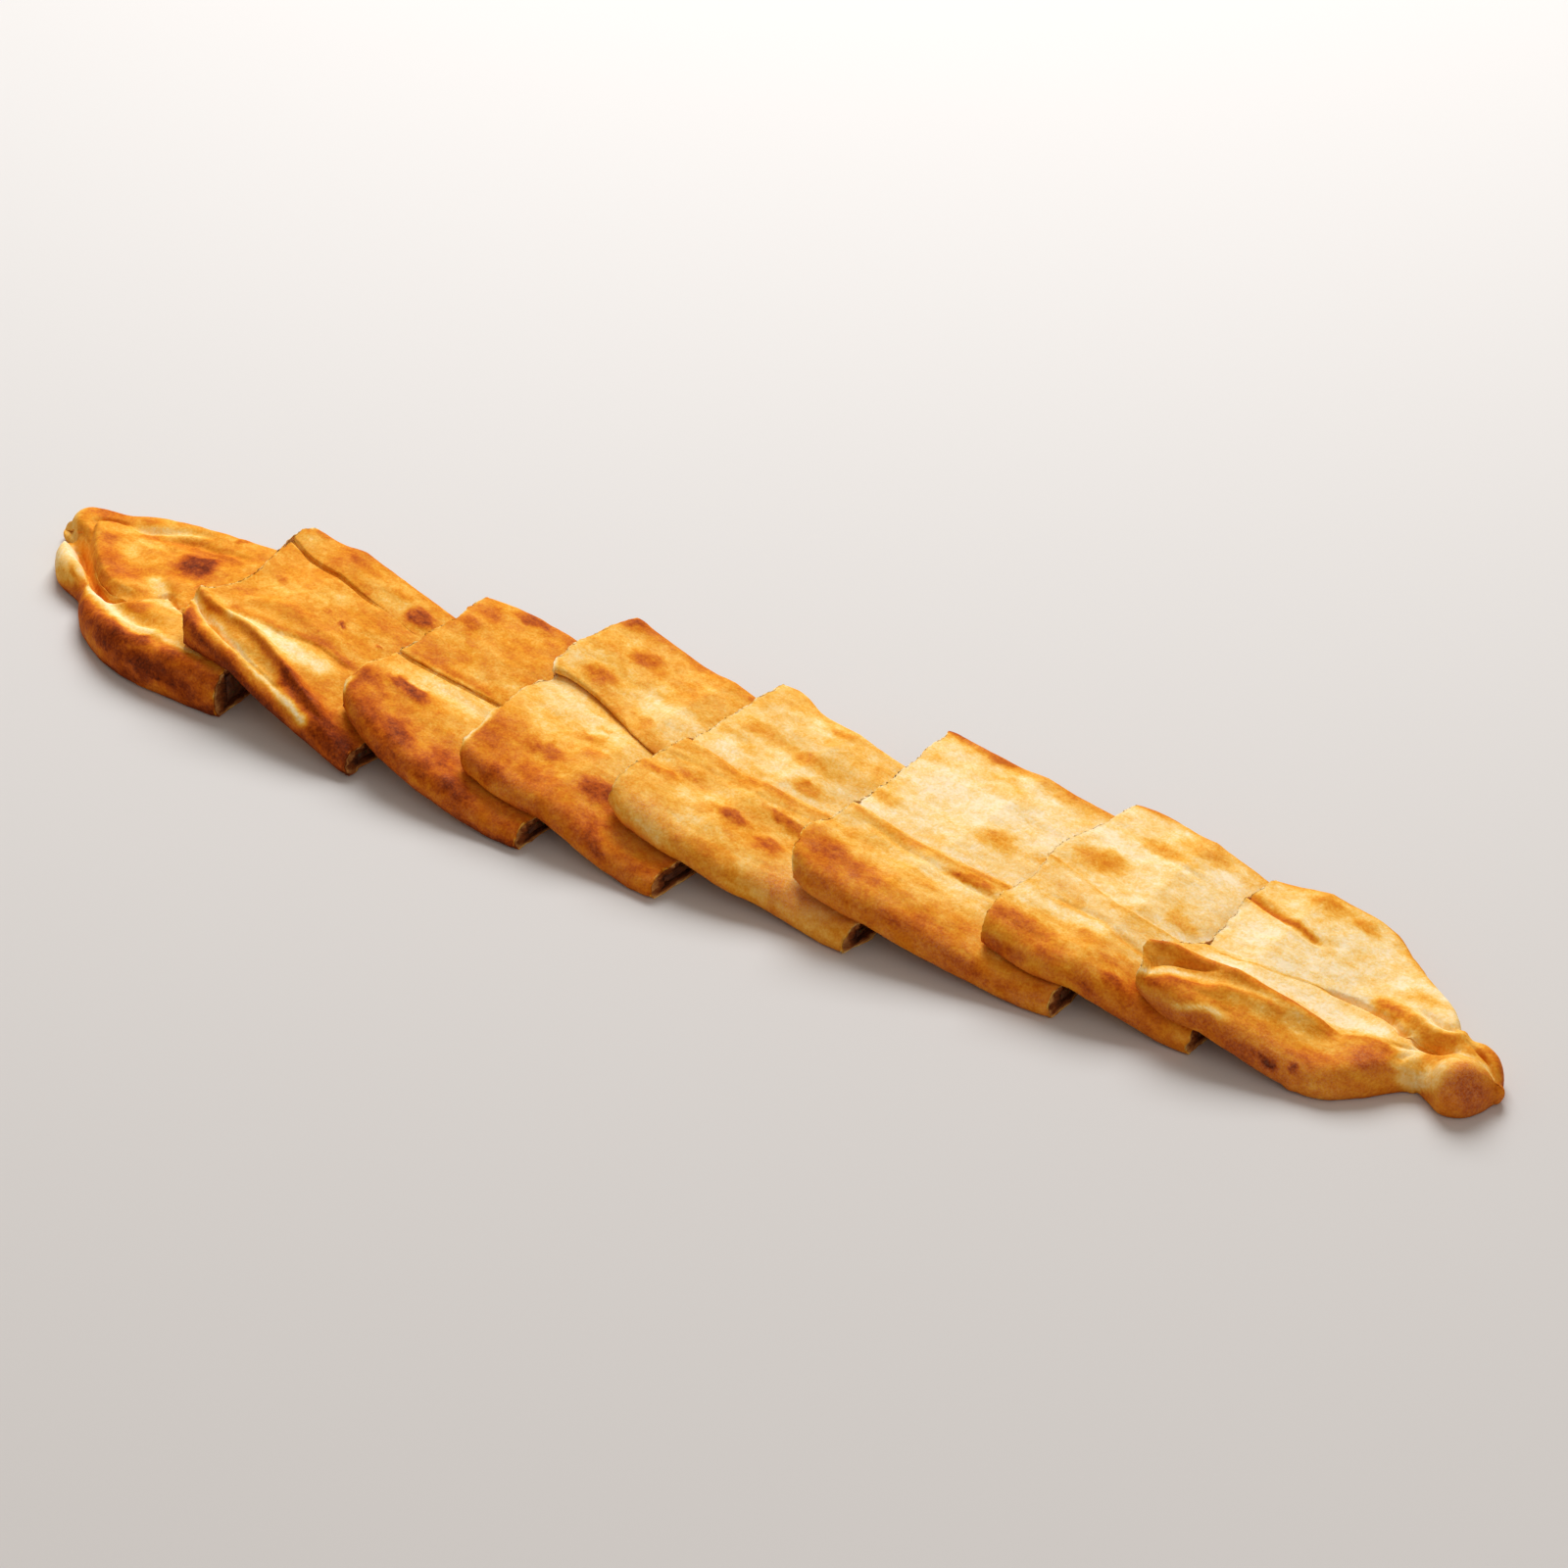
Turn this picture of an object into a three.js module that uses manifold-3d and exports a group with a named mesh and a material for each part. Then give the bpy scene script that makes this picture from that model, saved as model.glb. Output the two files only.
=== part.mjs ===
// A closed pide: a long flat bread folded over its filling from both sides, baked, cut across into
// eight slices and left lying in its own shape, each slice leaning on the end of the one before it.
// Millimetres. X runs along the pide from its left tip to its knotted right tip, Y across it to the
// back, Z up from the surface it lies on. On a slice, u runs along it from its left cut to its right
// one, v across it from front to back, and w up from its underside.
import * as THREE from 'three';
import { mergeVertices } from 'three/addons/utils/BufferGeometryUtils.js';
import Module from 'manifold-3d';

const wasm = await Module();
wasm.setup();

// Driving dimensions
const floorDough = 2.2; // dough under the filling
const roofDough = 2.8; // dough over the filling
const sideDough = 8; // dough beside the filling, where the sheet folds round it
const thinnestFilling = 1.2;
const thinnestFlap = 3; // least height of a slice's top over its underside
const roofReach = 3; // how far to each side of a point the roof over the filling keeps its thickness
const fillingGap = 0.3; // air between a filling and its dough
const sliceGap = 0.6; // air between a slice and the one it leans on
const leanPower = 1.15; // how the underside rises to the left cut, 1 is a straight line
const liftWidth = 100; // width over which a lifted end goes from its front height to its back one
const drapeHold = 4; // how far past the end of the slice under it the underside stays level
const drapeSlope = 0.3; // and how steeply it falls from there
const drapeBlend = 2; // height over which leaning turns into lying flat
const edgeFoot = 2.2; // radius of a rolled edge at its foot
const edgeWaist = 0.38; // height of its widest place, as a share of the flap's
const lipWidth = 1.2; // how far a flap's edge hangs over the other flap
const lipLean = 0.6; // how far the middle of that edge leans out, as a share of its width
const widestRoll = 0.35; // most of a slice's width that one rolled edge takes
const seamMargin = 0.08; // least of the width between the seam and a rolled edge
const foldFade = 10; // length over which a fold starts and ends
const crown = 1; // swelling of each flap in its middle
const cutMargin = 20; // how far a cutting solid runs past a cut

// How finely a slice's section is divided
const undersidePoints = 9;
const rollPoints = 3;
const footPoints = 2;
const backPoints = 6;
const frontPoints = 9;
const fillingPoints = 6;
const evenStations = 10; // sections along a slice that lists no stations of its own
const shortestStep = 1; // least length between two of a filling's sections

const crust = new THREE.MeshStandardMaterial({ color: '#e2a550', roughness: 0.75, metalness: 0 });
const mince = new THREE.MeshStandardMaterial({ color: '#6b4426', roughness: 0.8, metalness: 0 });

// at: middle of the right cut. turn: degrees from the X axis. lift: height of the left end's front
// and back. flat: length that lies on the surface. front, back, seam: lines along the slice, as
// [u, v]. frontHeight, backHeight: thickness of each flap, as [u, w]. cut: how far the left cut
// strays, as [v, u]. folds: ridges and troughs, each a line with a height, a width and two ends.
const slices = [
  {
    name: '1', at: [-197, 0], turn: 0, length: 136, flat: 136, lift: [0, 0], cut: 0,
    front: [
      [0, 26], [5, 17], [12, 6], [20, -3], [38, -12], [48, -24], [58, -33], [75, -42], [95, -48],
      [134, -51],
    ],
    back: [[0, 35], [4, 41], [11, 43], [23, 45], [36, 50], [60, 53], [134, 53]],
    seam: [[0, 29], [6, 24], [19, 15], [36, 2], [47, -4], [58, -8], [70, -5], [134, -5]],
    frontHeight: [[0, 5], [8, 10], [40, 13], [90, 16], [134, 17.5]],
    backHeight: [[0, 6], [8, 12], [60, 12.5], [134, 13]],
    roll: [7, 6],
    stations: [0, 2, 5, 9, 14, 20, 27, 34, 41, 48, 56, 65, 75, 86, 98, 110, 123, 136],
    hollow: [66, 136],
    folds: [
      {
        line: [[0, 29], [6, 22], [19, 13], [36, 0], [58, -10], [80, -7]],
        height: -6, width: 4, from: -10, to: 34,
      },
      {
        line: [[19, 2], [38, -9], [48, -16], [60, -23], [90, -31]],
        height: -2.2, width: 5, from: 16, to: 95,
      },
      { line: [[19, 36], [60, 34], [90, 30]], height: -1.5, width: 5, from: 25, to: 80 },
    ],
  },
  {
    name: '2', at: [-123.5, -9], turn: -7.5, length: 97, flat: 12, lift: [19, 21.5],
    cut: [[-46, 10], [-40, 3], [-22, -6], [-3, 0], [32, -6], [44, -2]],
    front: [[0, -42], [20, -45], [50, -49], [97, -51]],
    back: [[0, 44], [23, 46], [97, 49]],
    seam: [[0, 31], [16, 28], [42, 27], [97, 26]],
    frontHeight: 9, backHeight: [[0, 10], [60, 9.5], [97, 9]],
    roll: [6, 5], hollow: [0, 97],
    folds: [
      {
        line: [[-6, -17], [29, -19], [52, -27], [70, -38], [97, -45]],
        height: 3.2, width: 5, from: -20, to: 78,
      },
      {
        line: [[-4, -22], [15, -31], [26, -32], [45, -35]],
        height: -2.5, width: 3.5, from: -20, to: 45,
      },
      { line: [[12, -12], [25, -8], [64, -6]], height: 1, width: 4, from: 5, to: 60 },
    ],
  },
  {
    name: '3', at: [-39, -14.5], turn: -9, length: 101, flat: 12, lift: [17, 15.5],
    cut: [[-47, 5], [-38, 0], [12, -1], [22, -1], [46, -4]],
    front: [[0, -42], [7, -47], [28, -53], [66, -55], [101, -53]],
    back: [[0, 46], [13, 51], [33, 54], [101, 54]],
    seam: [[0, -8], [22, -5], [46, -1], [101, 1]],
    frontHeight: 8.8, backHeight: [[0, 10.4], [101, 9.8]],
    roll: [7, 5], hollow: [0, 101],
    folds: [
      { line: [[0, -24], [60, -26]], height: 1, width: 9, from: -10, to: 70 },
    ],
  },
  {
    name: '4', at: [21.5, -11.5], turn: -8.5, length: 103, flat: 12, lift: [17, 18.5],
    cut: [[-56, 5], [-44, 3], [-3, -2], [2, 1], [10, -3], [34, -3], [54, 1]],
    front: [[0, -53], [6, -56], [103, -57]],
    back: [[0, 55], [103, 57]],
    seam: [[0, 5], [15, 8], [33, 7], [56, 3], [103, 2]],
    frontHeight: 8.6, backHeight: [[0, 12.5], [30, 11.5], [103, 9.8]],
    roll: [7, 5], hollow: [0, 103],
    folds: [
      { line: [[0, -28], [60, -30]], height: 1, width: 10, from: -10, to: 70 },
    ],
  },
  {
    name: '5', at: [97.5, -8], turn: -7, length: 112, flat: 12, lift: [18, 17.5],
    cut: [[-53, 2], [-40, 0], [-8, 3], [16, 4], [46, 3]],
    front: [[0, -53], [10, -57], [55, -57], [72, -54], [112, -54]],
    back: [[0, 49], [8, 51], [23, 47], [112, 45]],
    seam: [[4, -9], [26, -4], [66, 0], [112, 1]],
    frontHeight: [[0, 10.5], [112, 9.6]], backHeight: 8,
    roll: [9, 5], hollow: [0, 112],
    folds: [
      { line: [[0, -26], [70, -24]], height: -0.8, width: 5, from: -10, to: 75 },
    ],
  },
  {
    name: '6', at: [175.5, -2.5], turn: -3.2, length: 112, flat: 12, lift: [17.5, 17],
    cut: [[-57, 4], [-50, 0], [-38, -2], [-9, 1], [28, 1], [50, 0]],
    front: [[0, -55], [8, -58], [45, -58], [112, -55]],
    back: [[0, 54], [112, 58]],
    seam: [[2, -9], [18, -5], [44, -7], [112, -8]],
    frontHeight: [[0, 10.8], [112, 9.8]], backHeight: 8.4,
    roll: [8, 5], hollow: [0, 112],
    folds: [
      { line: [[0, -26], [80, -27]], height: -0.8, width: 5, from: -10, to: 80 },
    ],
  },
  {
    name: '7', at: [227, -1.5], turn: -4, length: 86, flat: 12, lift: [15, 15],
    cut: [[-56, 2], [-33, -1], [-18, 1], [-1, -3], [33, 3], [46, 4]],
    front: [[0, -53], [24, -55], [50, -53], [67, -51], [86, -50]],
    back: [[0, 49], [14, 51], [30, 49], [86, 45]],
    seam: [[0, -2], [17, -4], [86, -5]],
    frontHeight: 9.6, backHeight: 9,
    roll: [8, 5], hollow: [0, 86],
    folds: [],
  },
  {
    name: '8', at: [326, 0], turn: 0, length: 121, flat: 64, lift: [13, 11],
    cut: [[-46, -4], [-33, -8], [-24, -4], [-15, 5], [20, 5], [38, 8]],
    front: [
      [0, -46], [12, -51], [62, -52], [73, -50], [82, -43], [90, -35], [96, -30], [102, -33], [108, -37],
      [115, -35], [119, -29], [121, -22],
    ],
    back: [
      [0, 38], [12, 41], [30, 42], [42, 42], [53, 39], [64, 31], [81, 18], [90, 11], [97, 2], [103, -4],
      [110, -3], [116, -6], [120, -12], [121, -16],
    ],
    seam: [[0, -4], [43, -7], [57, -8], [71, -11], [82, -16], [95, -16], [121, -20]],
    frontHeight: [[0, 9.5], [40, 10], [80, 12], [96, 11], [104, 14], [112, 15], [118, 12], [121, 8]],
    backHeight: [[0, 8.5], [60, 11], [85, 13], [97, 12], [104, 14], [112, 15], [118, 12], [121, 8]],
    roll: [8, 6],
    stations: [0, 9, 18, 28, 38, 48, 57, 65, 73, 80, 86, 91, 96, 101, 106, 111, 115.5, 119, 121],
    hollow: [0, 66],
    folds: [
      {
        line: [[-7, -32], [8, -26], [20, -23], [48, -23], [60, -26]],
        height: 3.5, width: 5, from: -30, to: 66,
      },
      { line: [[-8, -39], [12, -33], [34, -30]], height: -3, width: 3, from: -30, to: 34 },
      { line: [[-4, -45], [25, -38], [45, -37]], height: 2, width: 4, from: -30, to: 46 },
    ],
  },
];
const clamp = (value, low, high) => Math.min(Math.max(value, low), high);
const mix = (a, b, t) => a + (b - a) * t;

// The value at x on a smooth line through [x, value] pairs, level beyond its ends.
function along(pairs, x) {
  if (typeof pairs === 'number') return pairs;
  const last = pairs.length - 1;
  if (x <= pairs[0][0]) return pairs[0][1];
  if (x >= pairs[last][0]) return pairs[last][1];
  const slope = (a, b) => (pairs[b][1] - pairs[a][1]) / (pairs[b][0] - pairs[a][0]);
  const i = pairs.findIndex((pair, n) => n < last && x < pairs[n + 1][0]);
  const step = pairs[i + 1][0] - pairs[i][0];
  const t = (x - pairs[i][0]) / step;
  const start = slope(Math.max(i - 1, 0), i + 1) * step;
  const end = slope(i, Math.min(i + 2, last)) * step;
  const ease = 3 * t ** 2 - 2 * t ** 3;
  const bend = start * (t ** 3 - 2 * t ** 2 + t) + end * (t ** 3 - t ** 2);
  return mix(pairs[i][1], pairs[i + 1][1], ease) + bend;
}

// The larger of two heights, rounded off where they are close.
function smoothMax(a, b) {
  const near = Math.max(drapeBlend - Math.abs(a - b), 0) / drapeBlend;
  return Math.max(a, b) + (near * near * drapeBlend) / 4;
}

// The front edge, the back edge and the seam of a slice at u, and the radii of its rolled edges.
function linesAt(slice, u) {
  const front = along(slice.front, u);
  const back = along(slice.back, u);
  const width = back - front;
  const roll = slice.roll.map((radius) => Math.min(radius, width * widestRoll));
  const margin = width * seamMargin;
  const seam = clamp(along(slice.seam, u), front + roll[0] + margin, back - roll[1] - margin);
  return { front, back, roll, seam };
}

function foldHeight(slice, u, v) {
  return slice.folds.reduce((sum, fold) => {
    const fade = clamp(Math.min(u - fold.from, fold.to - u) / foldFade, 0, 1);
    return sum + fold.height * fade * Math.exp(-(((v - along(fold.line, u)) / fold.width) ** 2));
  }, 0);
}

// The height of a flap's top over the slice's underside, before the edges are rolled.
function flapHeight(slice, u, v, onBack) {
  const { front, back, seam } = linesAt(slice, u);
  const across = onBack ? (v - seam) / (back - seam) : (seam - v) / (seam - front);
  const swell = crown * (1 - (2 * clamp(across, 0, 1) - 1) ** 2);
  const height = along(onBack ? slice.backHeight : slice.frontHeight, u) + swell + foldHeight(slice, u, v);
  return Math.max(height, thinnestFlap);
}

// Straying of the left cut dies out along the slice.
const strayed = (slice, u, v) => u + along(slice.cut, v) * (1 - u / slice.length);

function toPlan(slice, u, v) {
  const turn = THREE.MathUtils.degToRad(slice.turn);
  const x = u - slice.length;
  return [
    slice.at[0] + x * Math.cos(turn) - v * Math.sin(turn),
    slice.at[1] + x * Math.sin(turn) + v * Math.cos(turn),
  ];
}

function fromPlan(slice, x, y) {
  const turn = THREE.MathUtils.degToRad(slice.turn);
  const dx = x - slice.at[0];
  const dy = y - slice.at[1];
  return [
    slice.length + dx * Math.cos(turn) + dy * Math.sin(turn),
    dy * Math.cos(turn) - dx * Math.sin(turn),
  ];
}

// The height of a slice's underside: it leans up to its left cut, and clears the slice under it.
function underside(slice, u, v) {
  const rise = Math.max(0, 1 - u / Math.max(slice.length - slice.flat, 1)) ** leanPower;
  const across = clamp(v / liftWidth + 0.5, 0, 1);
  const own = mix(slice.lift[0], slice.lift[1], across) * rise;
  const below = slices[slices.indexOf(slice) - 1];
  if (!below) return own;
  const [belowU, belowV] = fromPlan(below, ...toPlan(slice, u, v));
  const restU = clamp(belowU, 0, below.length);
  const { front, back, roll } = linesAt(below, restU);
  const restV = clamp(belowV, front + roll[0], back - roll[1]);
  const thickness = Math.max(along(below.frontHeight, restU), along(below.backHeight, restU)) + crown;
  const past = Math.max(0, belowU - below.length - drapeHold);
  return smoothMax(own, underside(below, restU, restV) + thickness + sliceGap - past * drapeSlope);
}

function place(slice, u, v, w) {
  const reach = strayed(slice, u, v);
  const [x, y] = toPlan(slice, reach, v);
  return [x, y, w + underside(slice, reach, v)];
}

// A quarter or half ellipse from one angle to another, in degrees, without its first point.
function arc(centre, radii, from, to, count) {
  return Array.from({ length: count }, (_, n) => {
    const angle = THREE.MathUtils.degToRad(mix(from, to, (n + 1) / count));
    return [centre[0] + radii[0] * Math.cos(angle), centre[1] + radii[1] * Math.sin(angle)];
  });
}

const spread = (from, to, count) => Array.from({ length: count }, (_, n) => mix(from, to, n / (count - 1)));

// The outline of a slice at u: along its underside to the back, up the rolled back edge, over the
// back flap to the seam, down or up the lip of the upper flap, and over the front flap to its roll.
function doughSection(slice, u) {
  const { front, back, roll, seam } = linesAt(slice, u);
  const top = (v, onBack) => [v, flapHeight(slice, u, v, onBack)];
  const backTop = top(back - roll[1], true);
  const frontTop = top(front + roll[0], false);
  const backLip = top(seam, true);
  const frontLip = top(seam, false);
  const upper = Math.sign(backLip[1] - frontLip[1]) * lipWidth;
  const middle = (backLip[1] + frontLip[1]) / 2;
  const [frontWaist, backWaist] = [frontTop[1] * edgeWaist, backTop[1] * edgeWaist];
  const foot = Math.min(edgeFoot, roll[0], roll[1]);
  return [
    ...spread(front + foot, back - foot, undersidePoints).map((v) => [v, 0]),
    ...arc([back - foot, backWaist], [foot, backWaist], -90, 0, footPoints),
    ...arc([back - roll[1], backWaist], [roll[1], backTop[1] - backWaist], 0, 90, rollPoints),
    ...spread(back - roll[1], seam + lipWidth, backPoints).slice(1).map((v) => top(v, true)),
    [seam - upper * lipLean, middle],
    ...spread(seam - lipWidth, front + roll[0], frontPoints).map((v) => top(v, false)),
    ...arc([front + roll[0], frontWaist], [roll[0], frontTop[1] - frontWaist], 90, 180, rollPoints),
    ...arc([front + foot, frontWaist], [foot, frontWaist], 180, 270, footPoints).slice(0, -1),
  ];
}

// The outline of the filling's space, drawn in by a margin for the filling itself.
function fillingSection(slice, u, margin) {
  const { front, back, seam } = linesAt(slice, u);
  const from = front + sideDough + margin;
  const to = back - sideDough - margin;
  const low = floorDough + margin;
  const roof = (v) => {
    const reached = [v - roofReach, v, v + roofReach];
    const heights = reached.map((across) => flapHeight(slice, u, across, across > seam));
    return Math.max(Math.min(...heights) - roofDough - margin, low + thinnestFilling);
  };
  const floor = spread(from, to, fillingPoints).map((v) => [v, low]);
  return [...floor, ...spread(to, from, fillingPoints).map((v) => [v, roof(v)])];
}

// The triangles over a cut: from the front to the back, between its lower and its upper edge.
function acrossCut(section) {
  const count = section.length;
  const vs = section.map(([v]) => v);
  const first = vs.indexOf(Math.min(...vs));
  const last = vs.indexOf(Math.max(...vs));
  const chain = (step) => {
    const indices = [first];
    while (indices.at(-1) !== last) indices.push((indices.at(-1) + step + count) % count);
    return indices;
  };
  const lower = chain(1);
  const upper = chain(-1);
  const triangles = [];
  let [i, j] = [0, 0];
  while (i < lower.length - 1 || j < upper.length - 1) {
    const lowerNext = i < lower.length - 1 && vs[lower[i + 1]] <= vs[upper[j + 1]];
    const onLower = j === upper.length - 1 || lowerNext;
    triangles.push(onLower ? [lower[i], lower[i + 1], upper[j]] : [lower[i], upper[j + 1], upper[j]]);
    if (onLower) i += 1;
    else j += 1;
  }
  return triangles.filter((corners) => new Set(corners).size === 3);
}

// One closed skin over a row of outlines with equally many points, one at each u.
function loft(slice, stations, sectionAt) {
  const sections = stations.map(sectionAt);
  const count = sections[0].length;
  const positions = sections.flatMap((section, n) => {
    return section.flatMap(([v, w]) => place(slice, stations[n], v, w));
  });
  const index = [];
  for (let n = 0; n < sections.length - 1; n += 1) {
    for (let m = 0; m < count; m += 1) {
      const a = n * count + m;
      const b = n * count + ((m + 1) % count);
      index.push(a, b, b + count, a, b + count, a + count);
    }
  }
  const cap = (section, offset, flip) => {
    acrossCut(section).forEach(([a, b, c]) => {
      index.push(offset + a, offset + (flip ? c : b), offset + (flip ? b : c));
    });
  };
  cap(sections[0], 0, true);
  cap(sections[sections.length - 1], (sections.length - 1) * count, false);
  const geometry = new THREE.BufferGeometry();
  geometry.setAttribute('position', new THREE.Float32BufferAttribute(positions, 3));
  geometry.setIndex(index);
  return geometry;
}

function toManifold(geometry) {
  const merged = mergeVertices(geometry);
  return new wasm.Manifold(new wasm.Mesh({
    numProp: 3,
    vertProperties: new Float32Array(merged.attributes.position.array),
    triVerts: new Uint32Array(merged.index.array),
  }));
}

function toGeometry(solid) {
  const mesh = solid.getMesh();
  const geometry = new THREE.BufferGeometry();
  geometry.setAttribute('position', new THREE.Float32BufferAttribute(mesh.vertProperties, 3));
  geometry.setIndex(new THREE.Uint32BufferAttribute(mesh.triVerts, 1));
  return geometry;
}

function piece(name, geometry, material) {
  geometry.computeVertexNormals();
  const mesh = new THREE.Mesh(geometry, material);
  mesh.name = name;
  return mesh;
}

// The dough of a slice, with the space for its filling open at every cut.
function dough(slice) {
  const stations = slice.stations ?? spread(0, slice.length, evenStations);
  const solid = toManifold(loft(slice, stations, (u) => doughSection(slice, u)));
  const [from, to] = slice.hollow;
  const inside = stations.filter((u) => u > from && u < to);
  const open = [from === 0 ? -cutMargin : from, ...(from === 0 ? [0] : []), ...inside,
    ...(to === slice.length ? [to, to + cutMargin] : [to])];
  const space = toManifold(loft(slice, open, (u) => fillingSection(slice, u, 0)));
  return piece(`slice_${slice.name}`, toGeometry(solid.subtract(space)), crust);
}

function filling(slice) {
  const stations = slice.stations ?? spread(0, slice.length, evenStations);
  const [from, to] = slice.hollow;
  const ends = [from + fillingGap, to - fillingGap];
  const inside = stations.filter((u) => u > ends[0] + shortestStep && u < ends[1] - shortestStep);
  const body = loft(slice, [ends[0], ...inside, ends[1]], (u) => fillingSection(slice, u, fillingGap));
  return piece(`filling_${slice.name}`, body, mince);
}

const pide = new THREE.Group();
slices.forEach((slice) => pide.add(dough(slice), filling(slice)));

// The origin is the middle of the pide's footprint.
const box = new THREE.Box3().setFromObject(pide, true);
pide.position.set(-(box.min.x + box.max.x) / 2, -(box.min.y + box.max.y) / 2, -box.min.z);
pide.updateMatrixWorld(true);

export default pide;
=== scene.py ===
# A closed pide: a long flat bread folded over its filling from both sides, baked, and cut across
# into eight slices that still lie in their row, each leaning on the end of the one before it.
import math

import bmesh
import bpy
import numpy as np
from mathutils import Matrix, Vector, noise


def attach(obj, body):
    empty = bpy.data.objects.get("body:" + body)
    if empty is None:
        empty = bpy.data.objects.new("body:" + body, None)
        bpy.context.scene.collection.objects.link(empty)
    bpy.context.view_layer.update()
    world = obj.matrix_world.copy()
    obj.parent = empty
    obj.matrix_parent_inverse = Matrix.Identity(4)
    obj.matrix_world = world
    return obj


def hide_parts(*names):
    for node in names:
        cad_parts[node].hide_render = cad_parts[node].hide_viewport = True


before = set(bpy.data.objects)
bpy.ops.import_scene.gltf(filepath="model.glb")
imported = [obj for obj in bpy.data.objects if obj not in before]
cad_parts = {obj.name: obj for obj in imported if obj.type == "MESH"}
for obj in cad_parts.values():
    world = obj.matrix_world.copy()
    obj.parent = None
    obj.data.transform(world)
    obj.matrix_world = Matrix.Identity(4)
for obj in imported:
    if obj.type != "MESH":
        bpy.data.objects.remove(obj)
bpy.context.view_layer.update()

mm = 0.001  # shapes are worked out in millimetres, and made metres when a mesh is filled

# Camera: where it stood and how it looked down on the row
camera = {
    "place": (0.8501, -1.3114, 1.001),
    "heading": (-0.528, 0.849),
    "down": 32.356,  # degrees below level
    "lens": 114.29,
    "sensor": 36,
}
tilt = math.radians(camera["down"])
level = [toward * math.cos(tilt) for toward in camera["heading"]]
looking = Vector((*level, -math.sin(tilt)))
cameraData = bpy.data.cameras.new("camera")
cameraData.lens = camera["lens"]
cameraData.sensor_width = camera["sensor"]
cameraObject = bpy.data.objects.new("camera", cameraData)
cameraObject.location = camera["place"]
cameraObject.rotation_euler = looking.to_track_quat("-Z", "Y").to_euler()
bpy.context.scene.collection.objects.link(cameraObject)
bpy.context.scene.camera = cameraObject
print("camera set")

# What all slices share, in millimetres
dough = {
    "floor": 2.2,  # dough under the filling
    "roof": 2.8,  # dough over the filling
    "roofReach": 3,
    "side": 8,  # dough beside the filling
    "thinnestFilling": 1.2,
    "thinnestFlap": 3,
    "fineThinning": 0.6,  # what creases may take off it
    "sliceGap": 0.6,  # air between a slice and the one it leans on
    "leanPower": 1.15,
    "liftWidth": 100,
    "drapeHold": 4,
    "drapeSlope": 0.3,
    "drapeBlend": 2,
    "foot": 2.2,  # radius of a rolled edge at its foot
    "waist": 0.38,
    "crown": 1,
    "widestRoll": 0.35,
    "seamMargin": 0.08,
    "foldFade": 10,
    "lipRadius": 1.2,  # roundness of the upper flap's edge
    "lipUndercut": (0.5, 3),  # how far the crease runs in under it, as a share of the step and at most
    "lipThickness": 0.8,  # of the step between the flaps
    "lipCrease": (0.2, 0.12),  # how far its crease lies short of the undercut's end, and how high, as shares
    "leastStep": 0.08,  # keeps the lip's points apart where the flaps are level
    "tipRound": 2.6,
    "footprintMiddle": (-3.5, -4.951),  # of the row in its own lines, the origin of the frame
    "rowStep": 1.0,  # of the mesh along a slice
    "edgeRows": (0, 0.35, 0.8, 1.4, 2.2),  # how far from an end its first rows lie
    "edgeWidth": 3.1,  # and where the even ones start
    "cavityStep": 2.5,
    "columns": {"bottom": 44, "foot": 6, "roll": 12, "back": 84, "lip": 11, "front": 96},
    "crowding": {"samples": 240, "seam": (1.2, 3), "crease": (1.4, 4, 1)},  # of columns at seam and creases
    "cutRows": 9,
    "tipRows": 7,
    "closing": (0.75, 0.5, 0.25, 0),  # how the closed end of the space is drawn in, row by row
    "ragged": (0.35, 0.9),  # fine and broad straying of a cut's edge
    "raggedReach": 1.6,
    "crumbDepth": 0.8,
    "crustOverCut": 0.15,  # share of a cut's depth that the crust bends over
    "crushed": (0.2, 0.8),  # how far the knife pressed the crust down at the left and right cuts
    "crushReach": 1.8,
    "undulation": [(0.5, 30, 20), (0.2, 11, 8)],  # waves of the top: strength, size along and across
    "stray": (0.5, 9, 12),  # of creases: how far, and its lumps' sizes
    "skin": 0.1,  # wrinkles all over
    "blister": {"height": 0.9, "leastBake": 0.2, "widest": 14},  # raised spots
    "lineFade": 7,  # length over which a crease or a band starts and ends
    "lineEnd": 0.1,  # what is left of it at its very ends
    "lineReach": 2.6,  # how many of its widths it reaches
    "coverFade": (4, 0.4),  # width of the fade at the next slice's edge, and where in it the edge lies
}

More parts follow.
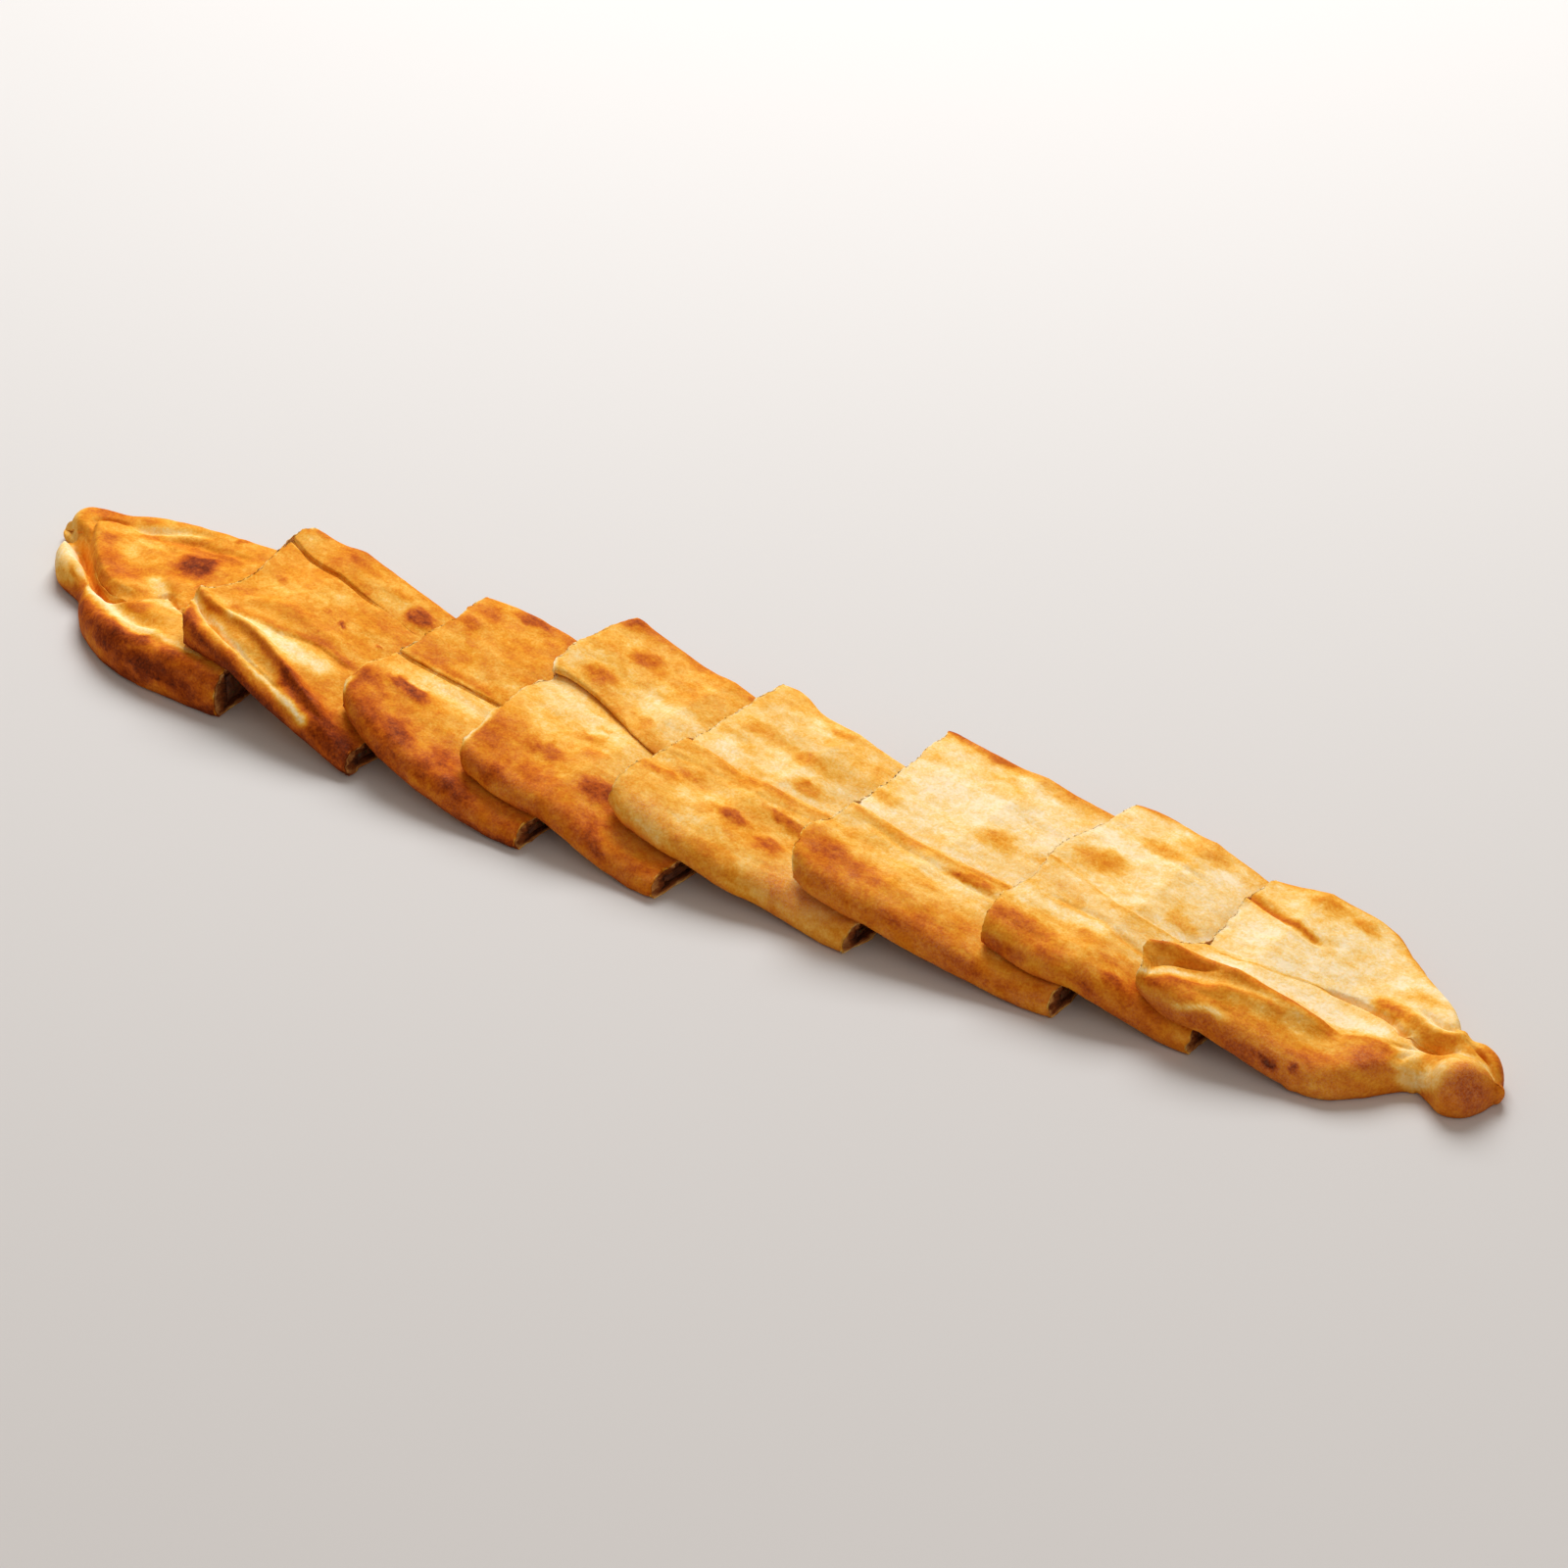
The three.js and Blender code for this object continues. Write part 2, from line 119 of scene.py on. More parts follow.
# at: middle of the right cut. turn: degrees from X. lift: height of the left end, front and back.
# flat: length that lies on the surface. front, back, seam: lines as (u, v), u along the slice from
# its left cut, v across it from front to back. cut: straying of the left cut as (v, u).
# frontHeight, backHeight: thickness of each flap as (u, w), w up from the underside. roll: radii of
# the rolled front and back edges. hollow: where the filling's space starts and ends along the slice.
# notch: (v, width, depth, reach) of the dent in the tip. folds: ridges and troughs. creases: finer
# ones. A crease's or band's widths are the one to the right of its line's run and the one to its left.
# Bake runs from 0, pale, to 1, burnt, and in a few bands and in the cut crumb it also carries painted shade:
# tones are the flaps' and the sides', edges are (strength, reach), spots are (u, v, length, width, bake), and
# a spot or band below 0 is paler than the rest.
# sheer and dusted are spots where the filling's moisture shows through and where flour lies thicker,
# and flour is what lies all over.
slices = [
    {
        "name": "1", "at": (-197, 0), "turn": 0, "length": 136, "flat": 136, "lift": (0, 0), "cut": 0,
        "front": [(0, 26), (5, 17), (12, 6), (20, -3), (38, -12), (48, -24), (58, -33), (75, -42),
                  (95, -48), (134, -51)],
        "back": [(0, 35), (4, 41), (11, 43), (23, 45), (36, 50), (60, 53), (134, 53)],
        "seam": [(0, 29), (6, 25), (19, 19), (28, 10), (36, 2), (45, -6), (55, -12), (66, -14.5), (73, -12),
                 (80, -9), (88, -11), (134, -8)],
        "frontHeight": [(0, 5), (8, 10), (40, 13), (90, 16), (134, 17.5)],
        "backHeight": [(0, 9.5), (6, 12), (60, 12.5), (134, 13)],
        "roll": (7, 6), "hollow": (66, 136),
        "folds": [
            {"line": [(0, 29), (6, 22), (19, 13), (36, 0), (58, -10), (80, -7)],
             "height": -6, "width": 4, "from": -10, "to": 34},
            {"line": [(19, 2), (38, -9), (48, -16), (60, -23), (90, -31)],
             "height": -2.2, "width": 5, "from": 16, "to": 95},
            {"line": [(19, 36), (60, 34), (90, 30)], "height": -1.5, "width": 5, "from": 25, "to": 80},
        ],
        "creases": [
            {"line": [(10, 21), (19, 15), (27, 7), (35, -1), (45, -9), (55, -15), (64, -18), (74, -15)],
             "height": -6, "widths": (1.8, 2.6)},
            {"line": [(14, 28), (24, 19), (34, 8), (44, -1), (55, -7), (68, -9)],
             "height": 2.4, "widths": (2.4, 7)},
            {"line": [(72, -9), (77, -3), (81, -5), (87, -10), (94, -13.5), (104, -18)],
             "height": -2.4, "widths": (1.2, 0.8)},
            {"line": [(66, 6), (76, 3), (86, -4), (96, -9)], "height": 1.2, "widths": (3, 6)},
            {"line": [(25, 14), (19, 22), (15, 28), (18, 32), (24, 34), (30, 35)],
             "height": -2, "widths": (1.3, 1.3)},
            {"line": [(28, 34), (39, 36), (48, 40), (56, 43), (66, 44)],
             "height": -1.5, "widths": (1.6, 2.4)},
            {"line": [(38, 27), (51, 27), (63, 25)], "height": -0.8, "widths": (2, 2)},
            {"line": [(42, 31), (56, 36), (71, 37), (90, 36)], "height": -0.9, "widths": (1.6, 2)},
            {"line": [(10, 14), (18, 6), (31, -3), (42, -11), (56, -21), (68, -27), (77, -32), (86, -33),
                      (101, -37)],
             "height": 1.4, "widths": (3, 2)},
            {"line": [(24, 0), (30, -6), (37, -12), (46, -15)], "height": -1.3, "widths": (1.2, 1.4)},
            {"line": [(64, -19), (80, -22), (98, -23)], "height": 1.3, "widths": (5, 5)},
            {"line": [(64, -30), (80, -41), (100, -46), (130, -47)], "height": 1, "widths": (6, 5)},
        ],
        "backTone": 0.45, "frontTone": 0.38, "sideTone": 0.76,
        "frontEdge": (0.45, 25), "backEdge": (0.1, 9),
        "spots": [
            (74, 21, 10, 9.5, 0.74), (79, 19, 19, 14, 0.2), (78, -43, 12, 8, 0.68), (93, -41, 7, 4, 0.6),
            (94, -51, 12, 5, 0.66), (107, -55, 12, 6, 0.7), (121, -59, 11, 5, 0.6), (112, -44, 9, 4, 0.4),
            (126, -48, 10, 5, 0.3), (66, -36, 9, 6, 0.45), (84, -60, 16, 5, 0.5), (132, -66, 14, 4, 0.5),
            (76, 47, 4.5, 3.5, 0.4), (57, -27, 12, 6, 0.4), (40, 17, 9, 6, -0.5), (17, 4, 13, 10, -0.75),
            (30, -7, 15, 8, -0.55), (82, -22, 20, 7, 0.12), (44, 26, 10, 5, -0.3),
            (1, 34, 7, 22, -0.6), (8, 10, 12, 12, -0.4), (70, -20, 14, 6, 0.24), (12, 36, 12, 6, 0.16),
        ],
        "bands": [
            {"line": [(26, 23), (37, 11), (46, 3), (54, 1), (62, 6)], "widths": (4, 5), "bakeAndShade": 0.34},
            {"line": [(2, 34), (8, 38), (18, 40), (26, 40)], "widths": (5, 4), "bakeAndShade": 0.24},
            {"line": [(8, 20), (14, 15), (24, 6), (34, -3), (44, -12), (57, -20), (70, -27), (82, -31),
                      (96, -34)],
             "widths": (3.4, 3.4), "bakeAndShade": -0.78},
            # A brown band down the deep groove in front of the seam: painted shade in the crease
            {"line": [(12, 19), (19, 14), (27, 6), (35, -2), (45, -9.5), (55, -15.5), (64, -18), (74, -15)],
             "widths": (1.6, 2.4), "bakeAndShade": 0.4},
            {"line": [(45, -16), (52, -17), (62, -23), (73, -31), (83, -35), (95, -36), (109, -37),
                      (122, -39)],
             "widths": (1.6, 3.4), "bakeAndShade": -0.55},
            {"line": [(25, -1), (31, -7), (38, -12), (45, -14)], "widths": (1.6, 1.6), "bakeAndShade": 0.34},
            {"line": [(28, 35), (36, 36.5), (44, 39), (52, 41), (62, 42)],
             "widths": (2.4, 2.8), "bakeAndShade": -0.66},
            {"line": [(34, 30), (50, 33), (70, 34), (92, 31)], "widths": (3, 2.4), "bakeAndShade": 0.24},
            {"line": [(61, 6), (70, 1), (78, -5), (88, -11)], "widths": (4, 2), "bakeAndShade": -0.6},
            {"line": [(62, -18), (70, -16), (80, -13), (96, -15)], "widths": (2.4, 2), "bakeAndShade": -0.5},
        ],
        "flour": 0.03, "notch": (23, 3.2, 6, 9),
    },
    {
        "name": "2", "at": (-123.5, -9), "turn": -7.5, "length": 97, "flat": 12, "lift": (19, 21.5),
        "cut": [(-46, 10), (-40, 3), (-22, -6), (-3, 0), (32, -6), (44, -2)],
        "front": [(0, -42), (20, -45), (50, -49), (97, -51)],
        "back": [(0, 44), (23, 46), (97, 49)],
        "seam": [(0, 30), (11, 27.5), (24, 25.6), (44, 24.6), (97, 25)],
        "frontHeight": [(0, 8.8), (36, 9), (52, 9.4), (97, 9.1)],
        "backHeight": [(0, 10), (36, 9.8), (52, 9.5), (97, 9.1)],
        "roll": (6, 5), "hollow": (0, 97),
        "folds": [
            {"line": [(-6, -20), (5, -22.5), (19, -26), (32, -28.5), (43, -31), (53, -34.5), (64, -38.5),
                      (81, -43)],
             "height": 2.6, "width": 3.2, "from": -20, "to": 84},
            {"line": [(-4, -24), (2, -26), (10, -31), (17, -34.5), (28, -38.5), (46, -39.5), (56, -43)],
             "height": -1.6, "width": 2.6, "from": -20, "to": 58},
            {"line": [(12, -12), (25, -8), (64, -6)], "height": 1, "width": 4, "from": 5, "to": 60},
        ],
        "creases": [
            {"line": [(-12, 31), (4, 29), (11, 27), (24, 25), (38, 24), (50, 23.5)],
             "height": -1, "widths": (0.7, 0.6)},
            {"line": [(5, -23.5), (19, -27), (32, -29.5), (43, -32), (53, -35.5), (64, -39.5), (81, -44),
                      (104, -48)],
             "height": 0.9, "widths": (1.4, 2.4)},
            {"line": [(0, -25.5), (7, -29), (15, -33.5), (24, -38), (36, -41.5), (46, -42), (56, -44)],
             "height": -1.7, "widths": (1, 1.2)},
            {"line": [(-10, -30), (2, -36), (13, -42), (28, -45), (44, -46)],
             "height": 1.2, "widths": (4, 3)},
            {"line": [(12, -20), (24, -21.5), (38, -21), (45, -17), (54, -14), (70, -13)],
             "height": -1, "widths": (4, 1)},
        ],
        "backTone": 0.45, "frontTone": 0.41, "sideTone": 0.86,
        "frontEdge": (0.34, 8), "backEdge": (0.3, 7),
        "spots": [
            (63, 33, 6.5, 5.5, 0.66), (48, 35, 6, 3, 0.24), (45, 5, 1.7, 1.5, 0.6), (63, 6, 1.6, 1.4, 0.5),
            (13, 9, 3.6, 3, 0.3), (61, -27, 8, 4, 0.26), (-1, -31, 11, 9, 0.52), (14, -38, 7, 4, 0.3),
            (88, -50, 22, 9, 0.42), (96, -36, 12, 10, 0.3), (18, 0, 14, 9, -0.12), (26, 36, 12, 4, 0.2),
            (40, -5, 22, 7, 0.1), (70, 12, 16, 10, 0.1), (22, 42, 6, 3, 0.3),
        ],
        "bands": [
            {"line": [(-12, -21), (5, -24.5), (19, -28.5), (32, -30.5), (43, -33), (53, -36.5), (64, -41)],
             "widths": (2.2, 1.6), "bakeAndShade": 0.5},
            {"line": [(50, -35), (62, -40), (73, -42.5), (85, -44), (96, -46), (110, -48)],
             "widths": (8, 6), "bakeAndShade": 0.74},
            {"line": [(14, -24), (30, -24.5), (42, -24.5), (54, -24), (68, -24)],
             "widths": (5.5, 6.5), "bakeAndShade": -0.8},
            {"line": [(10, -18.5), (24, -19.5), (38, -18.5), (45, -14.5), (54, -11.5), (72, -10.5)],
             "widths": (1.2, 2.2), "bakeAndShade": 0.34},
            {"line": [(-3, -23), (3, -26.5), (9, -30), (17, -34.5), (26, -38.5), (38, -42), (50, -44.5),
                      (62, -46.5),
                      (76, -50)],
             "widths": (3.4, 2.6), "bakeAndShade": -0.88},
            {"line": [(-8, -33), (2, -37), (10, -43), (20, -48.5), (34, -52.5), (50, -55), (66, -56)],
             "widths": (5, 2.8), "bakeAndShade": 0.62},
            {"line": [(6, -28.5), (14, -33), (24, -38), (36, -41.5), (46, -42)],
             "widths": (0.9, 0.9), "bakeAndShade": 0.3},
        ],
        "flour": 0.03,
    },
    {
        "name": "3", "at": (-39, -14.5), "turn": -9, "length": 101, "flat": 12, "lift": (17, 15.5),
        "cut": [(-47, 5), (-38, 0), (12, -1), (22, -1), (46, -4)],
        "front": [(0, -42), (7, -47), (28, -53), (66, -55), (101, -53)],
        "back": [(0, 46), (13, 51), (33, 54), (101, 54)],
        "seam": [(0, -8), (22, -5), (46, -1), (101, 1)],
        "frontHeight": 9, "backHeight": [(0, 10), (101, 9.6)],
        "roll": (7, 5), "hollow": (0, 101),
        "folds": [
            {"line": [(0, -24), (60, -26)], "height": 1, "width": 9, "from": -10, "to": 70},
        ],
        "creases": [
            {"line": [(-12, -8.8), (8, -7.8), (24, -5.6), (45, -1.6), (70, -0.6), (110, 0)],
             "height": -0.7, "widths": (0.8, 0.6)},
            {"line": [(2, -40), (20, -44), (44, -48), (70, -49)], "height": 0.8, "widths": (6, 6)},
            {"line": [(20, -14), (44, -11), (70, -9)], "height": -0.5, "widths": (3, 3)},
        ],
        "backTone": 0.43, "frontTone": 0.35, "sideTone": 0.86,
        "frontEdge": (0.5, 36), "backEdge": (0.26, 10),
        "spots": [
            (20, -23.5, 12, 4.6, 0.74), (30, -45, 9, 6, 0.42), (15, -43, 8, 6, 0.34), (49, -51, 9, 5, 0.42),
            (23, 46, 9, 4.5, 0.6), (6, 24, 7, 5, 0.3), (10, 36, 5, 4, 0.2), (67, -50, 10, 6, 0.4),
            (52, -43, 8, 5, 0.35), (2, -32, 9, 9, 0.3), (10, 4, 15, 8, 0.1), (60, -38, 14, 7, 0.2),
            (30, 18, 14, 8, -0.1), (34, 34, 12, 6, 0.16),
        ],
        "bands": [
            {"line": [(12, -13), (28, -11), (50, -8), (80, -6)], "widths": (6.5, 6), "bakeAndShade": -0.55},
            {"line": [(-6, -5), (20, -3), (44, 1)], "widths": (1, 2.4), "bakeAndShade": 0.2},
            {"line": [(0.6, -48), (0.8, -42), (0.4, -36), (0.6, -30)], "widths": (1.1, 1.1), "bakeAndShade": -0.7},
        ],
        "flour": 0.04,
    },
    {
        "name": "4", "at": (21.5, -11.5), "turn": -8.5, "length": 103, "flat": 12, "lift": (17, 18.5),
        "cut": [(-56, 5), (-44, 3), (-3, -2), (2, 1), (10, -3), (34, -3), (54, 1)],
        "front": [(0, -53), (6, -56), (103, -57)],
        "back": [(0, 55), (103, 57)],
        "seam": [(0, 4.5), (7, 6.5), (15, 7), (24, 6), (35, 3), (46, -1), (56, -2), (103, -1.5)],
        "frontHeight": 8.8, "backHeight": [(0, 12.6), (30, 11.2), (50, 10), (103, 9.6)],
        "roll": (7, 5), "hollow": (0, 103),
        "folds": [
            {"line": [(0, -28), (60, -30)], "height": 1, "width": 10, "from": -10, "to": 70},
        ],
        "creases": [
            {"line": [(4, -12), (26, -14), (52, -18)], "height": -0.5, "widths": (4, 3)},
            {"line": [(0, -42), (30, -45), (70, -46)], "height": 0.6, "widths": (7, 7)},
        ],
        "backTone": 0.34, "frontTone": 0.28, "sideTone": 0.66,
        "frontEdge": (0.46, 44), "backEdge": (0.34, 18),
        "spots": [
            (21, 37, 7, 6, 0.42), (17, 15.5, 8, 6.5, 0.4), (28, -32, 12, 5, 0.46), (43, -20.5, 7, 5, 0.3),
            (58, -35.5, 8, 6, 0.58), (-2, 49, 10, 5, 0.45), (20, -56, 8, 5, 0.4), (71, -57, 11, 6, 0.4),
            (89, -54, 11, 6, 0.3), (22, -6, 7, 4, 0.18), (36, -13, 8, 4, 0.24), (4, -38, 13, 10, 0.34),
            (46, 18, 22, 9, -0.55), (30, 28, 14, 4, -0.2), (30, -4, 26, 8, -0.55), (62, -8, 16, 5, -0.3),
            (8, 4, 8, 5, -0.3), (44, 8, 4, 2, 0.2), (26, 2, 3, 2, 0.2), (37, -3, 4, 2.4, 0.24),
            (1, 8, 2, 3, -0.7),
        ],
        "bands": [
            {"line": [(14, 7), (26, 6), (36, 3), (46, 0), (56, -1.5), (80, -1)],
             "widths": (2, 2.4), "bakeAndShade": 0.16},
            {"line": [(48, 10), (64, 9), (90, 8)], "widths": (4, 4), "bakeAndShade": -0.4},
            {"line": [(0.6, -54), (0.8, -48), (0.5, -42), (0.9, -36), (0.6, -28)],
             "widths": (1.3, 1.3), "bakeAndShade": -0.8},
        ],
        "flour": 0.05,
    },
    {
        "name": "5", "at": (97.5, -8), "turn": -7, "length": 112, "flat": 12, "lift": (18, 17.5),
        "cut": [(-53, 2), (-40, 0), (-8, 3), (16, 4), (46, 3)],
        "front": [(0, -53), (10, -57), (55, -57), (72, -54), (112, -54)],
        "back": [(0, 49), (8, 51), (23, 47), (112, 45)],
        "seam": [(4, -8.5), (15, -7.5), (26, -8), (43, -6), (59, -2.5), (70, -1), (112, 0)],
        "frontHeight": [(0, 10), (112, 9.4)], "backHeight": 8.4,
        "roll": (9, 5), "hollow": (0, 112),
        "folds": [
            {"line": [(0, -26), (70, -24)], "height": -0.8, "width": 5, "from": -10, "to": 75},
        ],
        "creases": [
            {"line": [(-12, -11), (4, -10.5), (15, -9.5), (26, -10), (43, -8), (59, -4.5), (70, -3),
                      (110, -2)],
             "height": 0.2, "widths": (2, 1)},
            {"line": [(2, -21), (21, -17), (42, -15.5), (59, -11), (84, -8)],
             "height": -0.3, "widths": (1.4, 1.4)},
            {"line": [(-6, -40), (30, -43), (90, -42)], "height": 0.8, "widths": (7, 7)},
        ],
        "backTone": 0.24, "frontTone": 0.34, "sideTone": 0.58,
        "frontEdge": (0.1, 20), "backEdge": (0.12, 8),
        "spots": [
            (37, 38, 7.5, 4, 0.3), (12, 17, 8, 4, 0.2), (38, 16, 8.5, 5, 0.28), (48, 3, 7.5, 5, 0.42),
            (9, -32, 10, 4, 0.34), (17, -24, 7, 4, 0.26), (43, -31, 10, 3.4, 0.56), (58, -18, 13, 3.6, 0.52),
            (62, -35, 8, 6.5, 0.54), (24, -2, 7, 3, 0.2), (70, -26, 9, 3, 0.24), (30, 26, 22, 5, -0.25),
            (12, 0, 14, 4, -0.5), (34, 4, 12, 4, -0.4), (60, 12, 14, 4, -0.4), (24, -46, 30, 6, -0.22),
            (84, -38, 20, 8, -0.3), (66, -52, 18, 5, 0.1), (6, -14, 8, 3, 0.16),
        ],
        "bands": [
            {"line": [(-8, -12), (15, -10.5), (26, -11), (43, -9), (59, -5.5), (70, -4), (110, -3)],
             "widths": (2.4, 1.4), "bakeAndShade": 0.14},
            {"line": [(-4, -5), (26, -4), (45, -2.5), (66, 2), (110, 4)], "widths": (2, 3.4), "bakeAndShade": -0.4},
        ],
        "sheer": [(12, 31, 18, 9, 0.3), (33, 22, 20, 9, 0.4), (58, 18, 20, 8, 0.4)], "flour": 0.04,
        "dusted": [(84, -48, 22, 12, 0.3), (20, -52, 20, 8, 0.2)],
    },
    {
        "name": "6", "at": (175.5, -2.5), "turn": -3.2, "length": 112, "flat": 12, "lift": (17.5, 17),
        "cut": [(-57, 4), (-50, 0), (-38, -2), (-9, 1), (28, 1), (50, 0)],
        "front": [(0, -55), (8, -58), (45, -58), (112, -55)],
        "back": [(0, 54), (112, 58)],
        "seam": [(2, -12), (13, -12.5), (27, -12.5), (42, -12.5), (55, -10.5), (70, -9.5), (112, -9)],
        "frontHeight": [(0, 10.3), (112, 9.6)], "backHeight": 8.6,
        "roll": (8, 5), "hollow": (0, 112),
        "folds": [
            {"line": [(0, -26), (80, -27)], "height": -0.8, "width": 5, "from": -10, "to": 80},
        ],
        "creases": [
            {"line": [(-12, -13), (2, -14), (27, -14.5), (42, -14.5), (55, -12.5), (70, -11.5), (116, -11)],
             "height": 0.3, "widths": (3, 1)},
            {"line": [(8, -18), (29, -20.5), (48, -21.5), (72, -21)], "height": -0.6, "widths": (1.6, 1.8)},
            {"line": [(-6, -40), (30, -44), (100, -43)], "height": 0.8, "widths": (8, 7)},
        ],
        "backTone": 0.16, "frontTone": 0.26, "sideTone": 0.62,
        "frontEdge": (0.38, 34), "backEdge": (0.42, 14),
        "spots": [
            (48, 9, 9, 7, 0.3), (6, 0, 6, 5, 0.26), (14, -43, 14, 9, 0.36), (30, -46, 9, 6, 0.32),
            (15, -27, 9, 6, 0.2), (56, -18, 9, 3.4, 0.5), (4, 55, 12, 5, 0.55), (22, 52, 12, 4, 0.3),
            (76, -60, 14, 6, 0.3), (73, -14, 8, 3, 0.24), (60, -50, 14, 7, 0.16), (44, -25, 22, 5, -0.5),
            (26, 22, 26, 14, -0.6), (60, 26, 26, 12, -0.5), (34, -2, 26, 4, -0.4), (84, -34, 18, 6, -0.2),
            (46, -34, 10, 4, 0.16), (32, 40, 10, 3, 0.12), (68, 12, 12, 4, 0.1),
        ],
        "bands": [
            {"line": [(-8, -14), (2, -14.5), (27, -15), (42, -15), (55, -13), (70, -12), (116, -11.5)],
             "widths": (2.4, 1.4), "bakeAndShade": 0.22},
            {"line": [(-6, -9.5), (22, -10), (41, -9.5), (56, -7.5), (90, -6)],
             "widths": (1, 2.6), "bakeAndShade": -0.5},
        ],
        "flour": 0.06,
    },
    {
        "name": "7", "at": (227, -1.5), "turn": -4, "length": 86, "flat": 12, "lift": (15, 15),
        "cut": [(-56, 2), (-33, -1), (-18, 1), (-1, -3), (33, 3), (46, 4)],
        "front": [(0, -53), (24, -55), (50, -53), (67, -51), (86, -50)],
        "back": [(0, 49), (14, 51), (30, 49), (86, 45)],
        "seam": [(0, -2.4), (11, -3.6), (36, -11), (54, -10), (86, -9)],
        "frontHeight": 9.6, "backHeight": 9,
        "roll": (8, 5), "hollow": (0, 86), "folds": [],
        "creases": [
            {"line": [(-12, -2), (11, -3.6), (36, -11), (54, -10.5), (90, -9)],
             "height": 0.3, "widths": (3, 1)},
            {"line": [(10, -23), (30, -22.5), (45, -26), (60, -28)], "height": -0.7, "widths": (1.6, 1.6)},
            {"line": [(-6, -40), (24, -44), (80, -42)], "height": 0.8, "widths": (7, 6)},
            {"line": [(20, 26), (34, 24), (50, 22)], "height": -0.4, "widths": (1.6, 1.6)},
        ],
        "backTone": 0.17, "frontTone": 0.24, "sideTone": 0.62,
        "frontEdge": (0.4, 26), "backEdge": (0.36, 9),
        "spots": [
            (16, 8, 11, 8, 0.3), (12, -43, 10, 8, 0.38), (10, -59, 11, 5, 0.3), (54, -36, 7, 5, 0.26),
            (54, -48, 5, 4, 0.5), (46, -56, 8, 5, 0.36), (54, -1, 8, 5, 0.26), (37, 38, 15, 5, 0.3),
            (9, 48, 12, 4, 0.3), (24, 27, 16, 3.4, 0.26), (32, -34, 10, 6, 0.2), (66, -50, 13, 6, 0.3),
            (20, 20, 20, 7, -0.5), (56, 18, 24, 10, -0.45), (28, -28, 18, 5, -0.45), (36, 8, 14, 5, -0.4),
            (66, -24, 14, 6, -0.4), (48, -40, 5, 3, 0.2), (62, -42, 5, 3, 0.24),
        ],
        "bands": [
            {"line": [(-8, -2), (11, -4), (24, -8), (36, -12), (54, -11), (80, -10)],
             "widths": (1.8, 1), "bakeAndShade": 0.14},
            {"line": [(10, -24), (30, -23.5), (45, -27), (60, -29)], "widths": (1.4, 1.4), "bakeAndShade": 0.16},
        ],
        "sheer": [(6, -14, 16, 8, 0.36), (29, -17, 18, 6, 0.32), (44, -22, 14, 5, 0.26)], "flour": 0.04,
        "dusted": [(14, -14, 16, 8, 0.2), (40, -20, 16, 6, 0.2)],
    },
    {
        "name": "8", "at": (326, 0), "turn": 0, "length": 121, "flat": 64, "lift": (13, 11),
        "cut": [(-54, 1), (-47, -5), (-41, -5), (-35, -7.5), (-28, -5), (-15, 5), (20, 5), (38, 8)],
        "front": [(0, -46), (12, -51), (62, -52), (73, -50), (82, -43), (90, -35), (96, -30), (102, -33),
                  (108, -37), (115, -35), (119, -29), (121, -22)],
        "back": [(0, 38), (12, 41), (30, 42), (42, 42), (53, 39), (64, 31), (81, 18), (90, 11), (97, 2),
                 (103, -4), (110, -3), (116, -6), (120, -12), (121, -16)],
        "seam": [(0, -14), (20, -13), (32, -12), (44, -9), (57, -6.5), (68, -8), (75, -11), (82, -15),
                 (95, -17),
                 (121, -20)],
        "frontHeight": [(0, 9.5), (40, 10), (80, 12), (96, 11), (104, 14), (112, 15), (118, 12), (121, 8)],
        "backHeight": [(0, 8.5), (60, 11), (85, 12.5), (97, 12), (104, 13), (112, 12), (118, 9.5), (121, 6)],
        "roll": (8, 6), "hollow": (0, 66),
        "folds": [
            {"line": [(-7, -39), (0, -33.5), (7, -29.5), (20, -28.5), (48, -28.5), (62, -29)],
             "height": 2.4, "width": 3.4, "from": -5, "to": 68},
            {"line": [(-4, -46), (3, -40), (9, -35), (15, -32), (24, -30)],
             "height": -0.6, "width": 1.4, "from": -30, "to": 26},
            {"line": [(-4, -52), (6, -47.5), (14, -43), (24, -40.5), (31, -37), (40, -34.5), (52, -33)],
             "height": 2.2, "width": 3.4, "from": -30, "to": 56},
        ],
        "creases": [
            {"line": [(-6, -37.5), (1, -31), (7, -26.5), (21, -25.5), (43, -25.5), (56, -26.5), (66, -27.5)],
             "height": 1.2, "widths": (4, 0.9)},
            {"line": [(-6, -46), (3, -39.5), (9, -34.5), (15, -31.5), (24, -29.5)],
             "height": -1.5, "widths": (0.9, 0.6)},
            {"line": [(9, -51), (14, -50.5), (20, -49), (26, -47), (36, -44)],
             "height": -2.2, "widths": (1.6, 0.9)},
            {"line": [(-8, 20), (4, 18), (12, 15.5), (20, 12), (28, 10), (38, 10)],
             "height": -1.4, "widths": (1, 2.6)},
            {"line": [(1, -18), (0, -6), (0, 8), (1, 17)], "height": -1.2, "widths": (4, 4)},
            {"line": [(46, -8.5), (57, -6.2), (68, -8), (75, -10.5), (82, -14.5), (87, -14.5)],
             "height": -2.4, "widths": (1.3, 1)},
            {"line": [(54, -1), (66, -2.5), (76, -5.5), (86, -10)], "height": 1, "widths": (3, 5)},
            {"line": [(78, -6), (84, -9), (90, -11.5), (96, -12), (101, -10), (105, -6)],
             "height": 2.6, "widths": (3, 4)},
            {"line": [(85, -16), (93, -17.6), (100, -17.6), (106, -15)], "height": -3, "widths": (1.6, 1.4)},
            {"line": [(80, 0), (90, -4), (96, -3), (101, 0)], "height": -2, "widths": (2, 1.6)},
            {"line": [(82, -24), (89, -21), (96, -20)], "height": -0.9, "widths": (1.1, 1.1)},
            {"line": [(85, -38), (89, -30), (92, -22)], "height": -1.1, "widths": (1.2, 1.2)},
